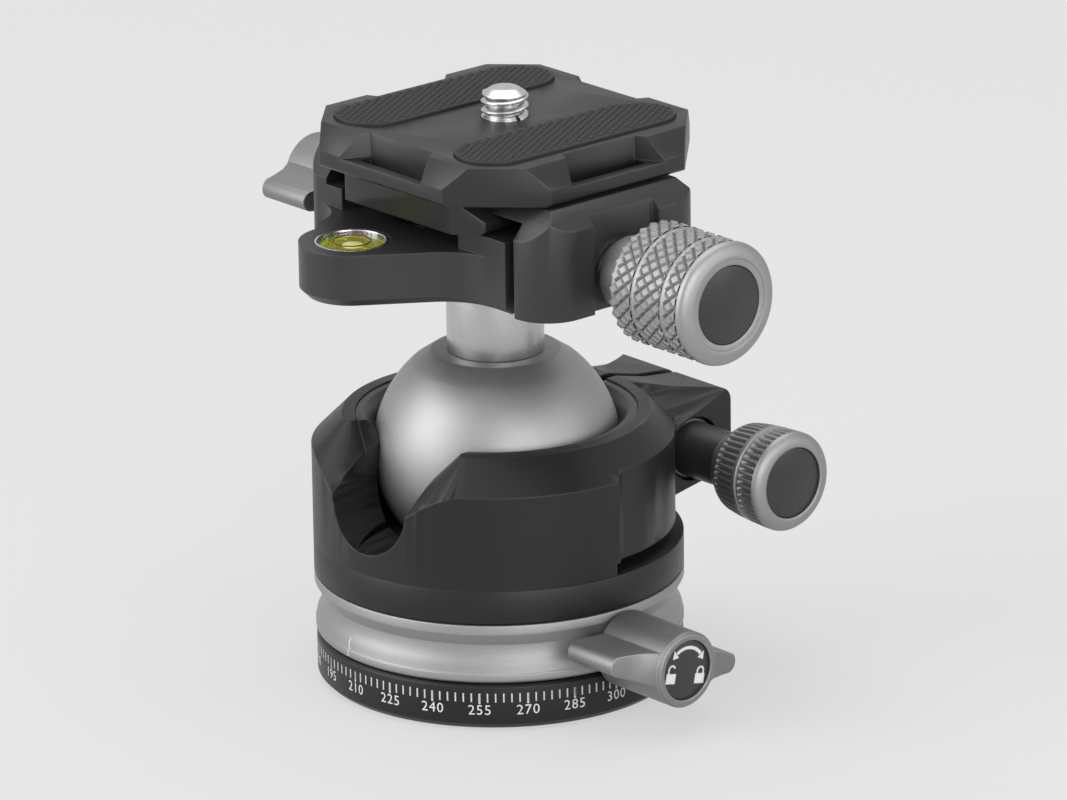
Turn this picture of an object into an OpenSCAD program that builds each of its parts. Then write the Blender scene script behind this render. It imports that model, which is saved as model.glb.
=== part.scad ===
// Tripod ball head with a panning base, a drop notch and a clamp for a quick release plate.
// Millimetres. +Z is up, the origin is the centre of the underside of the base, +X runs along
// the three lock screws, and +Y is the side that carries the clamping ears.

/* [Base and panning] */
// Radius of the scale disc
base_r = 24.8; // [24:0.1:25]
// Thickness of the scale disc
base_h = 6.3; // [5.8:0.1:7]
// Chamfer under the edge of the scale disc
base_edge = 0.8; // [0.4:0.1:1.5]
// Radius of the 3/8 inch tripod thread
tripod_r = 4.7625; // [4.5:0.0125:5]
// Outer radius of the tripod bush
bush_r = 6.5; // [6:0.1:7.5]
// Length of the tripod bush
bush_h = 9.5; // [8:0.1:10.5]
// Radius of the panning hub
hub_r = 12; // [11.5:0.1:12.5]
// Height of the panning hub above the scale disc
hub_h = 6; // [5.8:0.1:6.3]
// Thickness of the panning washer
washer_t = 0.6; // [0.5:0.05:0.8]
// Depth of the pocket that holds the panning washer
washer_sunk = 0.4; // [0.2:0.05:0.45]
// Outer radius of the panning washer
washer_r = 22; // [20:0.1:23]
// Outer radius of the panning retainer
retainer_r = 14; // [13.5:0.1:14.4]
// Thickness of the panning retainer
retainer_t = 1.4; // [1.2:0.1:1.6]

/* [Collar] */
// Radius of the panning collar
collar_r = 25; // [24.5:0.1:26]
// Height of the panning collar
collar_h = 8.17; // [8:0.01:9]
// Depth of the waist turned in the collar
waist_depth = 1.05; // [0.5:0.05:1.5]
// Height of the pan lock axis above the collar's underside
pan_axis_h = 2.9; // [2.8:0.05:3]
// Radius of the pan lock screw
pan_screw_r = 2.5; // [2:0.1:2.6]

/* [Housing] */
// Radius of the housing
housing_r = 25; // [24.5:0.1:26]
// Height of the lower housing
lower_h = 4.83; // [4.5:0.01:5.5]
// Height of the ball housing
upper_h = 17.24; // [17:0.01:18]
// Outer radius of the flat rim
rim_r = 20.8; // [20.2:0.1:21.5]
// Height of the sloping shoulder below the rim
shoulder_h = 4.2; // [3:0.1:5]
// Radius of the bore round the ball
cavity_r = 17.2; // [17.1:0.05:17.6]
// Outer radius of the upper seat ring
ring_r = 19.04; // [18.7:0.01:19.6]
// Height of the upper seat ring
ring_h = 6.5; // [6:0.1:7.5]
// Width of the drop notch
notch_w = 14.1; // [13.8:0.1:14.8]
// Height of the notch floor above the seam of the housing
notch_floor = 2.9; // [2.4:0.1:3.6]
// Turn of the drop notch from square to the lock screws, in degrees
notch_turn = 3.2; // [0:0.1:5]
// Height of the horizontal slit
slit_h = 1.7; // [1.2:0.1:2]
// Width of the gap between the ears
gap_w = 1.6; // [1:0.1:2]
// Distance from the ball axis to the end of the ears
ear_reach = 33.1; // [32:0.1:34]
// Distance from the gap's middle to the knob side of the front ear
front_ear_x = 10.4; // [10:0.1:11]
// Distance from the gap's middle to the far side of the back ear
back_ear_x = 10.4; // [9.6:0.1:11]
// Distance from the ball axis to the lock screw
lock_y = 26.4; // [25.8:0.1:26.8]
// Height of the lock screw above the seam of the housing
lock_h = 7.8; // [7.6:0.1:8.2]
// Radius of the lock screw
lock_screw_r = 2.5; // [2:0.1:3]

/* [Ball] */
// Radius of the ball
ball_r = 16.74; // [16.5:0.02:16.9]
// Depth of the ball's centre below the rim
ball_drop = 5.54; // [5.2:0.02:6]
// Radius of the stem
stem_r = 6.55; // [6:0.05:6.6]
// Distance from the ball's centre to the underside of the clamp
stem_reach = 26.2; // [26:0.1:28]
// Radius of the stem's spigot in the ball
spigot_r = 4; // [3.5:0.1:4.5]

/* [Clamp] */
// Length of the clamp across the jaws, from the ball axis to the back
clamp_back = 22; // [21:0.1:23]
// Distance from the ball axis to the front of the clamp base
clamp_front = 18.8; // [18.4:0.1:19.2]
// Half of the clamp's width along the plate groove
clamp_half = 14.4; // [14:0.1:15]
// Thickness of the clamp floor
floor_h = 7.2; // [7:0.1:7.6]
// Height of the seats above the clamp's underside
seat_h = 10; // [9.8:0.1:10.4]
// Chamfer round the clamp's underside
clamp_edge = 1.1; // [0.5:0.1:1.5]
// Radius of the lobe that holds the level
lobe_r = 7.1; // [6.8:0.1:7.6]
// Radius of the level's cup
level_r = 5.05; // [4.5:0.05:5.4]
// Height of the clamp screw above the clamp's underside
screw_h = 4.7; // [4.4:0.1:4.9]
// Radius of the draw rod
rod_r = 2; // [1.6:0.1:2.2]
// Radius of a jaw guide pin
pin_r = 1.5; // [1:0.05:1.6]
// Width of the slit between the clamp base and the jaw
jaw_slit = 1.7; // [1.4:0.1:2]
// Thickness of the jaw
jaw_t = 6.2; // [5.8:0.1:6.6]

/* [Plate] */
// Width of the release plate's dovetail across the jaws
dove_x = 27.9; // [27.5:0.1:28.3]
// Length of the release plate's dovetail along the groove
dove_y = 37.8; // [36:0.1:38.1]
// Height of the dovetail
dove_h = 4.8; // [4.6:0.1:5.2]
// Height of the plate's upright lip
lip_h = 2.4; // [2:0.1:3]
// Height of the bevel above the lip
bevel = 2.9; // [2:0.1:3.2]
// Length of the plate's top across the jaws
top_x = 40.2; // [39:0.1:42]
// Length of the plate's top along the groove
top_y = 38.7; // [38:0.1:41]
// Cut across each corner of the plate's top
corner_cut = 5.2; // [4.5:0.1:6]
// Radius of the 1/4 inch camera screw
camera_r = 3.175; // [3:0.025:3.3]
// Length of camera screw above the plate
camera_h = 4.6; // [4:0.1:6]
// Width of a rubber pad
pad_w = 10.4; // [8:0.1:11]

/* [Knobs and levers] */
// Radius of the clamp knob over its knurl
clamp_knob_r = 8.4; // [7.8:0.1:8.6]
// Length of the clamp knob
clamp_knob_l = 15; // [13:0.1:17]
// Radius of the boss behind the clamp knob
boss_r = 5; // [4.5:0.1:5.4]
// Radius of the main knob
main_knob_r = 6.9; // [6.4:0.1:7.2]
// Length of the main knob
main_knob_l = 12; // [11.8:0.1:13]
// Radius of the neck behind the main knob
neck_r = 3.8; // [3.5:0.1:4.1]
// Number of flutes round the main knob
flutes = 40; // [24:1:48]
// Number of knurl grooves each way round the clamp knob
knurls = 22; // [18:1:24]
// Radius of a wing lever's boss
lever_r = 5.2; // [5:0.1:5.6]
// Distance from a wing lever's axis to its tips
wing_reach = 11.3; // [10.5:0.1:11.8]
// Thickness of a wing at its tip
wing_t = 2.8; // [2.2:0.1:3.4]
// Turn of the pan lever in its locked place, in degrees
pan_turn = -12.6; // [-20:0.1:0]
// Turn of the clamp lever in its locked place, in degrees
clamp_turn = 0; // [-10:0.5:10]

/* [Clearances] */
// Radial clearance of a turning fit
run_gap = 0.06; // [0.03:0.01:0.09]
// Clearance between the ball and its seats
ball_gap = 0.06; // [0.03:0.01:0.1]
// Clearance between faces that slide or move apart
face_gap = 0.3; // [0.2:0.05:0.35]

/* [Hidden] */
$fn = 96;
// How far a cut runs past the face that it starts from
over = 1;
// Width of a small chamfer
nick = 0.4;

// Heights of the stack
collar_z = base_h + washer_t - washer_sunk;
lower_z = collar_z + collar_h;
seam_z = lower_z + lower_h;
rim_z = seam_z + upper_h;
ball_z = rim_z - ball_drop;
clamp_z = ball_z + stem_reach;
floor_z = clamp_z + floor_h;
seat_z = clamp_z + seat_h;
dove_z = seat_z + face_gap;
lip_z = dove_z + dove_h;
lip_top_z = lip_z + lip_h;
top_z = lip_top_z + bevel;
hub_top_z = base_h + hub_h;
pan_axis_z = collar_z + pan_axis_h;
lock_z = seam_z + lock_h;
screw_z = clamp_z + screw_h;

// Panning hub and its screws
brake_depth = 0.8;
brake_half = 1.6;
retainer_gap = 0.15;
retainer_bore = 6;
small_screw_r = 1.5;
small_head_r = 2.7;
small_head_h = 1.2;
small_screw_l = 5;
retainer_screws_n = 3;
retainer_screw_at = 9.2;
shelf_z = hub_top_z - retainer_gap;

// Collar: heights of the bands as shares of its height
ridge_share = 0.16;
flank_share = 0.27;
waist_low_share = 0.47;
waist_top_share = 0.63;
band_share = 0.85;
collar_lip = 0.1;
collar_screws_n = 4;
collar_screw_at = 20.4;
collar_screw_turn = 45;
collar_screw_l = 11.6;
collar_head_h = 2.2;
housing_screw_turns = [-26, -154];
housing_screw_at = 21.1;
housing_screw_l = 11;

// Pan lock
pad_l = 2.4;
lever_gap = 0.4;
lever_x = collar_r + lever_gap;
lever_l = 12.4;
wing_back = 0.9;
wing_front = 9.9;
cap_r = 4.1;
cap_t = 0.8;
cap_sunk = 0.3;
cap_gap = 0.05;
end_screw_head_r = 2.2;
end_screw_head_h = 1.3;
end_screw_r = 1.2;
end_screw_l = 5;
web_t = 1.6;

// Seats of the ball
seat_bore = 8;
seat_low = 0.85;
seat_top_drop = 9.2;
mouth_drop = 3.8;
mouth_lip = 0.5;
mouth_slope = 0.9;

// Ears
ear_round = 2;
ear_end_drop = 1.9;
ear_knee_y = 26;
ear_knee_drop = 1.3;
ear_foot_y = 22.7;
ear_foot_rise = 0.3;
ear_toe_rise = 3.5;
ear_low_y = ear_reach - ear_round;
scoop_r = 6;
scoop_yaw = 18;
scoop_pitch = 12;
scoop_out = 4.5;
scoop_up = 2.9;
pocket_depth = 1.1;
pocket_corner = 2;
pocket_lead = 2.5;
pocket_start = 4;
lead_half = 9.9;
lead_round = 1.4;
recess_r = 4.45;
recess_d = 1.4;
insert_r = 3.6;
insert_l = 6;
slit_start = -2;

// Ball: the cone below the stem
cone_low = 12.5;
cone_high = 14.1;
cone_top_r = 8.7;
spigot_l = 9;

// Main lock
neck_x = front_ear_x - recess_d + 0.5 * web_t;
main_knob_x = 18.1;
flute_r = 0.42;
groove_w = 0.7;
groove_d = 0.4;
main_cap_r = 4.85;

// Clamp plan
lobe_x = -2.9;
lobe_y = -22.2;
sweep_r = 8.4;
sweep_right_x = 15.5;
sweep_left_x = -19;
clamp_round = 3;
seat_front_x = 9.5;
seat_back_x = -14.2;
back_jaw_x = -17.4;
hook_h = 2.7;
hook_z = seat_z + hook_h;
end_slope = 40;
pin_y = 10.5;
pin_h = 5;
pin_deep = 8;
pin_slot_x = -6.5;
pin_slot_l = 6;
sweep_end = [8.58, -18.05];
lobe_right = [2.95, -26.2];
lobe_left = [-10, -22.4];
left_sweep_r = 7;
lobe_start = 145;
lobe_turn = 180;
grip_gap = 0.12;
stem_screw_at = 4.3;
stem_screw_l = 13;
cup_h = 5;
cup_wall = 0.55;
lens_t = 0.8;
lens_sunk = 0.1;

// Jaw
jaw_x = clamp_front + jaw_slit;
jaw_out = jaw_x + jaw_t;
jaw_recess = 1.2;
jaw_recess_half = 5.65;
jaw_round = 5.6;
jaw_top_z = lip_z - face_gap;
jaw_bevel = 2.6;
jaw_end_cut = 4;
thrust_t = 0.8;
thrust_r = 4.4;

// Clamp knob
knob_x = jaw_out - jaw_recess + thrust_t;
knurl_x = 31.6;
knurl_d = 0.45;
knob_bevel = 1.2;
knob_ring_r = 6.2;
knob_cap_r = 5.25;
knob_full = knurl_x - knob_x + clamp_knob_l;
// Rows of the knurl: place along it, and height of its even and odd points
knurl_row_shares = [[0, 0, 0], [0.073, 1, 0], [0.147, 0, 1], [0.22, 1, 0], [0.293, 0, 0], [0.327, -0.5, -0.5],
    [0.36, 0, 0], [0.433, 1, 0], [0.517, 0, 1], [0.6, 1, 0], [0.673, 0, 0], [0.703, -0.5, -0.5], [0.733, 0, 0],
    [0.807, 1, 0], [0.88, 0, 0], [0.94, 0, 0]];
nut_r = 3.2;
nut_l = 8;

// Clamp lever
bush_out = 3.1;
bush_out_r = 4.2;
bush_in_r = 3.2;
bush_deep = 3;
chamber_x = 2;
chamber_r = 3.8;
cross_pin_r = 0.9;
cross_pin_l = 7;
cam_lift = 0.8;
cross_pin_x = -clamp_back - bush_out - chamber_x - cam_lift - 1.2 * cross_pin_r;
rod_end = 1.6;

// Plate
plate_x = 1.3;
plate_y = 1.15;
bevel_in = 2.45;
dove_band = 1.6;
dove_corner = 3.2;
slot_in = 6.3;
slot_out = 8.6;
slot_edge = 1.4;
slot_bar = 1.6;
slot_step = 0.4;
lip_edge = 0.4;
pad_l_half = 12.5;
pad_at = 12.2;
pad_deep = 0.6;
pad_up = 0.35;
clip_t = 0.6;
clip_in = 4.8;
clip_bite = 0.45;
clip_z = dove_z + 0.2;
head_r = 5.8;
head_z = clip_z + clip_t + 0.2;
head_h = 1.9;
slot_w = 1.2;
slot_deep = 1.1;
camera_core = 0.55;
camera_dome = 1;
wing_root = 4.4;

// Shared shapes

// A cylinder along +X that starts at x
module rod_x(x, r, l) {
    translate([x, 0, 0])
        rotate([0, 90, 0])
            cylinder(r = r, h = l);
}

// A cone along +X that starts at x
module cone_x(x, r1, r2, l) {
    translate([x, 0, 0])
        rotate([0, 90, 0])
            cylinder(r1 = r1, r2 = r2, h = l);
}

// A solid turned about the X axis from points of [distance along X, radius]
module turned_x(points) {
    rotate([90, 0, 90])
        rotate_extrude()
            polygon([for (p = points) [p[1], p[0]]]);
}

// A flat ring that stands on z
module ring(z, r_in, r_out, h) {
    translate([0, 0, z])
        difference() {
            cylinder(r = r_out, h = h);
            translate([0, 0, -over])
                cylinder(r = r_in, h = h + 2 * over);
        }
}

// Copies of the children evenly round the Z axis
module around(n, at, turn = 0) {
    for (i = [0 : n - 1])
        rotate([0, 0, turn + i * 360 / n])
            translate([at, 0, 0])
                children();
}

// A countersunk screw whose head's face is at z = 0 and whose shank points down
module sunk_screw(head_r, head_h, r, l) {
    translate([0, 0, -head_h])
        cylinder(r1 = r, r2 = head_r, h = head_h);
    translate([0, 0, -l])
        cylinder(r = r, h = l - head_h / 2);
}

// Base body

module hub_groove() {
    translate([0, 0, pan_axis_z])
        rotate_extrude()
            polygon([[hub_r - brake_depth, 0], [hub_r + over, -brake_half * (1 + over / brake_depth)],
                [hub_r + over, brake_half * (1 + over / brake_depth)]]);
}

module retainer_screw_set(gap) {
    around(retainer_screws_n, retainer_screw_at, collar_screw_turn)
        translate([0, 0, hub_top_z + retainer_t])
            sunk_screw(small_head_r + gap, small_head_h, small_screw_r + gap, small_screw_l);
}

module scale_base() {
    color([0.13, 0.13, 0.14])
        difference() {
            union() {
                rotate_extrude()
                    polygon([[0, 0], [base_r - base_edge, 0], [base_r, base_edge], [base_r, base_h - nick],
                        [base_r - nick, base_h], [0, base_h]]);
                cylinder(r = hub_r, h = hub_top_z);
            }
            translate([0, 0, -over])
                cylinder(r = bush_r, h = bush_h + over);
            ring(base_h - washer_sunk, hub_r + over, washer_r + run_gap, washer_sunk + over);
            hub_groove();
            retainer_screw_set(0);
        }
}

module tripod_bush() {
    color("silver")
        difference() {
            cylinder(r = bush_r, h = bush_h);
            translate([0, 0, -over])
                cylinder(r = tripod_r, h = bush_h + 2 * over);
        }
}

module pan_washer() {
    color("ivory")
        ring(base_h - washer_sunk, hub_r + over, washer_r, washer_t);
}

module pan_retainer() {
    color("silver")
        difference() {
            ring(hub_top_z, retainer_bore, retainer_r, retainer_t);
            retainer_screw_set(0);
        }
}

module retainer_screws() {
    color("dimgray")
        retainer_screw_set(0);
}

// Body that pans

module collar_screw_set(gap) {
    around(collar_screws_n, collar_screw_at, collar_screw_turn)
        translate([0, 0, collar_z + face_gap]) {
            cylinder(r = small_head_r + gap, h = collar_head_h);
            cylinder(r = small_screw_r, h = collar_screw_l);
        }
}

// The screws that hold the ball housing down on the lower housing, beside the notch
module housing_screw_set(gap) {
    for (turn = housing_screw_turns)
        rotate([0, 0, turn])
            translate([housing_screw_at, 0, lower_z - over * (gap > 0 ? 1 : 0)]) {
                cylinder(r = small_head_r + gap, h = collar_head_h + over * (gap > 0 ? 1 : 0));
                cylinder(r = small_screw_r, h = housing_screw_l);
            }
}

module pan_collar() {
    waist = collar_r - waist_depth;
    color([0.55, 0.55, 0.56])
        difference() {
            translate([0, 0, collar_z])
                rotate_extrude()
                    polygon([[hub_r + run_gap, 0], [collar_r - collar_lip - nick, 0],
                        [collar_r - collar_lip, nick],
                        [collar_r - collar_lip, ridge_share * collar_h],
                        [collar_r - 3 * collar_lip, ridge_share * collar_h],
                        [collar_r - 3 * collar_lip, flank_share * collar_h],
                        [waist, waist_low_share * collar_h], [waist, waist_top_share * collar_h],
                        [collar_r, band_share * collar_h], [collar_r, collar_h],
                        [retainer_r + face_gap, collar_h], [retainer_r + face_gap, shelf_z - collar_z],
                        [hub_r + run_gap, shelf_z - collar_z]]);
            translate([0, 0, pan_axis_z])
                rod_x(0, pan_screw_r + run_gap, collar_r + over);
            collar_screw_set(run_gap);
            around(collar_screws_n, collar_screw_at, collar_screw_turn)
                translate([0, 0, collar_z - over])
                    cylinder(r = small_head_r + run_gap, h = 2 * over);
        }
}

module collar_screws() {
    color("dimgray")
        collar_screw_set(0);
}

module brake_pad() {
    color("goldenrod")
        translate([0, 0, pan_axis_z]) {
            cone_x(hub_r - brake_depth + face_gap, 0.2 * brake_half, brake_half, brake_depth);
            rod_x(hub_r + face_gap, pan_screw_r, pad_l);
        }
}

module lower_housing() {
    color([0.12, 0.12, 0.13])
        difference() {
            translate([0, 0, lower_z])
                rotate_extrude()
                    polygon([[cavity_r, 0], [housing_r - nick, 0], [housing_r, nick], [housing_r, lower_h],
                        [cavity_r, lower_h]]);
            collar_screw_set(0);
            housing_screw_set(run_gap);
        }
}

module housing_screws() {
    color("dimgray")
        housing_screw_set(0);
}

module seat_spring() {
    color("silver")
        ring(lower_z, retainer_r + 2 * face_gap, cavity_r - face_gap, seat_low);
}

module lower_seat() {
    color("ivory")
        difference() {
            ring(lower_z + seat_low, seat_bore, cavity_r - cap_gap, ball_z - seat_top_drop - lower_z - seat_low);
            translate([0, 0, ball_z])
                sphere(r = ball_r + ball_gap);
        }
}

// Outline of the ears across the head, in Y and Z
module ear_outline() {
    end_z = rim_z - ear_end_drop;
    toe_z = seam_z + ear_toe_rise;
    polygon([[0, rim_z], [rim_r, rim_z], [ear_knee_y, rim_z - ear_knee_drop], [ear_low_y, end_z],
        [ear_reach, end_z - ear_round], [ear_reach, toe_z + ear_round], [ear_low_y, toe_z],
        [ear_foot_y, seam_z + slit_h + ear_foot_rise], [0, seam_z + slit_h + ear_foot_rise]]);
    translate([ear_low_y, end_z - ear_round])
        circle(r = ear_round);
    translate([ear_low_y, toe_z + ear_round])
        circle(r = ear_round);
}

// The long scoop that runs down the side of an ear to the shoulder, for the ear's side at x
module ear_scoop(x) {
    translate([x + scoop_out, ear_reach, rim_z + scoop_up])
        rotate([0, 0, -scoop_yaw])
            rotate([90 + scoop_pitch, 0, 0])
                translate([0, 0, -ear_round])
                    cylinder(r = scoop_r, h = ear_reach);
}

module ears() {
    difference() {
        rotate([90, 0, 90])
            translate([0, 0, -back_ear_x])
                linear_extrude(back_ear_x + front_ear_x)
                    ear_outline();
        ear_scoop(front_ear_x);
        mirror([1, 0, 0])
            ear_scoop(back_ear_x);
    }
}

// Shallow pocket in the housing's side that leads to the ear's side at x
module side_pocket(x) {
    wall = housing_r - pocket_depth;
    corner = x + pocket_corner;
    turn = acos(corner / (wall + pocket_corner));
    translate([0, 0, seam_z - over]) {
        rotate([0, 0, pocket_start])
            rotate_extrude(angle = turn - pocket_start)
                translate([wall, 0])
                    square([2 * pocket_depth, upper_h + over]);
        rotate([0, 0, turn])
            translate([wall + pocket_corner, 0, 0])
                cylinder(r = pocket_corner, h = upper_h + over);
        rotate([0, 0, pocket_start])
            translate([wall + pocket_lead, 0, 0])
                cylinder(r = pocket_lead, h = upper_h + over);
    }
}

// The notch that the stem drops into. The shoulder's slope turns a small corner on each side and runs on
// inward along the notch, so that its sides lead the stem down.
module notch_cut() {
    r = notch_w / 2;
    axis_z = seam_z + notch_floor + r;
    depth = upper_h - notch_floor;
    corner_x = lead_half + lead_round;
    corner_y = sqrt(pow(rim_r - lead_round, 2) - pow(corner_x, 2));
    rotate([0, 0, notch_turn]) {
        translate([0, 0, axis_z])
            rotate([90, 0, 0])
                cylinder(r = r, h = housing_r + over);
        translate([-r, -housing_r - over, axis_z])
            cube([notch_w, housing_r + over, rim_z + over - axis_z]);
        rotate([90, 0, 0])
            linear_extrude(corner_y)
                polygon([[-lead_half - over, rim_z + over], [0, rim_z - lead_half],
                    [lead_half + over, rim_z + over]]);
        for (side = [0, 1])
            mirror([side, 0, 0])
                translate([corner_x, -corner_y, 0])
                    rotate([0, 0, 180])
                        rotate_extrude(angle = 90 + atan2(corner_x, corner_y))
                            polygon([[lead_round, rim_z + over], [lead_round, rim_z],
                                [lead_round + depth, rim_z - depth], [lead_round + depth, rim_z + over]]);
    }
}

module slit_cut() {
    translate([0, 0, seam_z - over])
        rotate([0, 0, slit_start])
            rotate_extrude(angle = 180 - 2 * slit_start)
                translate([cavity_r / 2, 0])
                    square([housing_r, slit_h + over]);
}

module ball_housing() {
    color([0.12, 0.12, 0.13])
        difference() {
            union() {
                difference() {
                    translate([0, 0, seam_z])
                        rotate_extrude()
                            polygon([[0, 0], [housing_r, 0], [housing_r, upper_h - shoulder_h],
                                [rim_r, upper_h], [0, upper_h]]);
                    side_pocket(front_ear_x);
                    mirror([1, 0, 0])
                        side_pocket(back_ear_x);
                    slit_cut();
                }
                ears();
            }
            translate([0, 0, seam_z - over])
                cylinder(r = cavity_r, h = upper_h + 2 * over);
            translate([0, 0, rim_z - ring_h])
                cylinder(r = ring_r, h = ring_h + over);
            notch_cut();
            translate([-gap_w / 2, 0, seam_z - over])
                cube([gap_w, ear_reach + over, upper_h + 2 * over]);
            translate([0, lock_y, lock_z]) {
                rod_x(0, lock_screw_r + run_gap, front_ear_x + over);
                rod_x(front_ear_x - recess_d, recess_r, recess_d + over);
                rod_x(-back_ear_x - over, insert_r, back_ear_x + over);
            }
            housing_screw_set(0);
        }
}

module upper_seat_ring() {
    mouth_z = ball_z + mouth_drop;
    mouth_r = sqrt(pow(ball_r + ball_gap, 2) - pow(mouth_drop, 2));
    color([0.1, 0.1, 0.11])
        difference() {
            ring(rim_z - ring_h, ball_r / 2, ring_r, ring_h - mouth_lip / 4);
            translate([0, 0, ball_z])
                sphere(r = ball_r + ball_gap);
            translate([0, 0, mouth_z])
                cylinder(r1 = mouth_r, r2 = mouth_r + mouth_slope * (rim_z - mouth_z), h = rim_z - mouth_z);
            notch_cut();
            translate([-gap_w / 2, 0, rim_z - ring_h - over])
                cube([gap_w, ring_r + over, ring_h + 2 * over]);
        }
}

module lock_insert() {
    color("goldenrod")
        translate([0, lock_y, lock_z])
            difference() {
                rod_x(-back_ear_x, insert_r, insert_l);
                rod_x(-back_ear_x - over, lock_screw_r + run_gap, insert_l + 2 * over);
            }
}

// Pan lock

// The two wings seen along the lever's axis
module wing_outline() {
    tip_y = wing_reach - wing_t / 2;
    for (s = [-1, 1])
        translate([s * tip_y, 0])
            circle(r = wing_t / 2);
    polygon([[-tip_y, -wing_t / 2], [-lever_r, -wing_root / 2], [lever_r, -wing_root / 2], [tip_y, -wing_t / 2],
        [tip_y, wing_t / 2], [lever_r, wing_root / 2], [-lever_r, wing_root / 2], [-tip_y, wing_t / 2]]);
}

// A butterfly lever along +X with its back at x = 0, whose wings sweep up to the ring at its end
module wing_lever(shaft_r) {
    difference() {
        union() {
            turned_x([[0, 0], [0, lever_r - nick], [nick, lever_r], [lever_l - nick, lever_r],
                [lever_l, lever_r - nick], [lever_l, 0]]);
            intersection() {
                rotate([90, 0, 90])
                    linear_extrude(lever_l)
                        wing_outline();
                turned_x([[wing_back, 0], [wing_back, wing_reach - nick], [wing_back + nick, wing_reach + over],
                    [wing_front - nick, wing_reach + over], [wing_front, 0.8 * wing_reach],
                    [wing_front + nick, 0.65 * wing_reach], [wing_front + 3 * nick, 0.54 * wing_reach],
                    [lever_l - nick, lever_r - nick / 4], [lever_l - nick, 0]]);
            }
        }
        rod_x(lever_l - cap_t - cap_sunk, cap_r + cap_gap, cap_t + cap_sunk + over);
        rod_x(lever_l - cap_t - cap_sunk - end_screw_head_h, end_screw_head_r, end_screw_head_h + over);
        rod_x(-over, shaft_r, lever_l - cap_t - cap_sunk - end_screw_head_h - web_t + over);
        rod_x(0, end_screw_r, lever_l);
    }
}

// The screw under a lever's cap, in the lever's place
module lever_end_screw() {
    x = lever_l - cap_t - cap_sunk;
    rod_x(x - end_screw_head_h, end_screw_head_r, end_screw_head_h);
    rod_x(x - end_screw_l, end_screw_r, end_screw_l);
}

module place_pan_lever() {
    translate([lever_x, 0, pan_axis_z])
        rotate([pan_turn, 0, 0])
            children();
}

module pan_lock_screw() {
    start = hub_r + face_gap + pad_l;
    end = lever_x + lever_l - cap_t - cap_sunk - end_screw_head_h - web_t;
    color("silver")
        translate([0, 0, pan_axis_z])
            difference() {
                rod_x(start, pan_screw_r, end - start);
                rod_x(lever_x + lever_l - cap_t - cap_sunk - end_screw_l, end_screw_r, end_screw_l);
            }
}

module pan_lever() {
    color([0.6, 0.6, 0.61])
        place_pan_lever()
            wing_lever(pan_screw_r);
}

module pan_lever_screw() {
    color("silver")
        place_pan_lever()
            lever_end_screw();
}

module pan_lever_cap() {
    color([0.15, 0.15, 0.16])
        place_pan_lever()
            rod_x(lever_l - cap_t - cap_sunk, cap_r, cap_t);
}

// Main lock

module place_lock() {
    translate([0, lock_y, lock_z])
        children();
}

module lock_screw() {
    end = main_knob_x + main_knob_l - cap_t - cap_sunk - end_screw_head_h - web_t;
    color("silver")
        place_lock()
            difference() {
                rod_x(-back_ear_x, lock_screw_r, back_ear_x + end);
                rod_x(main_knob_x + main_knob_l - cap_t - cap_sunk - end_screw_l, end_screw_r, end_screw_l);
            }
}

module lock_washer() {
    x = front_ear_x - recess_d;
    color("silver")
        place_lock()
            difference() {
                rod_x(x, recess_r - face_gap, neck_x - x);
                rod_x(x - over, lock_screw_r + run_gap, neck_x - x + 2 * over);
            }
}

module knob_neck() {
    color([0.13, 0.13, 0.14])
        place_lock()
            difference() {
                rod_x(neck_x, neck_r, main_knob_x - neck_x);
                rod_x(neck_x - over, lock_screw_r, main_knob_x - neck_x + 2 * over);
            }
}

// Profile of the main knob as [distance, radius]
function main_knob_points() = [[0, 0], [0, neck_r + nick], [0.1 * main_knob_l, 0.72 * main_knob_r],
    [0.2 * main_knob_l, 0.83 * main_knob_r], [0.32 * main_knob_l, 0.9 * main_knob_r],
    [0.5 * main_knob_l, 0.95 * main_knob_r], [0.62 * main_knob_l, 0.97 * main_knob_r],
    [0.62 * main_knob_l, 0.97 * main_knob_r - groove_d],
    [0.62 * main_knob_l + groove_w, 0.97 * main_knob_r - groove_d],
    [0.62 * main_knob_l + groove_w, 0.97 * main_knob_r], [0.9 * main_knob_l, main_knob_r],
    [0.96 * main_knob_l, 0.97 * main_knob_r], [main_knob_l, 0.88 * main_knob_r], [main_knob_l, 0]];

module main_knob() {
    color([0.5, 0.5, 0.51])
        place_lock()
            translate([main_knob_x, 0, 0])
                difference() {
                    turned_x(main_knob_points());
                    for (i = [0 : flutes - 1])
                        rotate([i * 360 / flutes, 0, 0])
                            translate([0.24 * main_knob_l, 0, 0.98 * main_knob_r])
                                rotate([0, 90 - 3, 0])
                                    cylinder(r = flute_r, h = 0.64 * main_knob_l, $fn = 6);
                    rod_x(main_knob_l - cap_t - cap_sunk, main_cap_r + cap_gap, cap_t + cap_sunk + over);
                    rod_x(main_knob_l - cap_t - cap_sunk - end_screw_head_h, end_screw_head_r,
                        end_screw_head_h + over);
                    rod_x(-over, lock_screw_r, main_knob_l - cap_t - cap_sunk - end_screw_head_h - web_t + over);
                    rod_x(0, end_screw_r, main_knob_l);
                }
}

module main_knob_screw() {
    x = main_knob_x + main_knob_l - cap_t - cap_sunk;
    color("silver")
        place_lock() {
            rod_x(x - end_screw_head_h, end_screw_head_r, end_screw_head_h);
            rod_x(x - end_screw_l, end_screw_r, end_screw_l);
        }
}

module main_knob_cap() {
    color([0.15, 0.15, 0.16])
        place_lock()
            rod_x(main_knob_x + main_knob_l - cap_t - cap_sunk, main_cap_r, cap_t);
}

// Ball and stem

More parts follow.
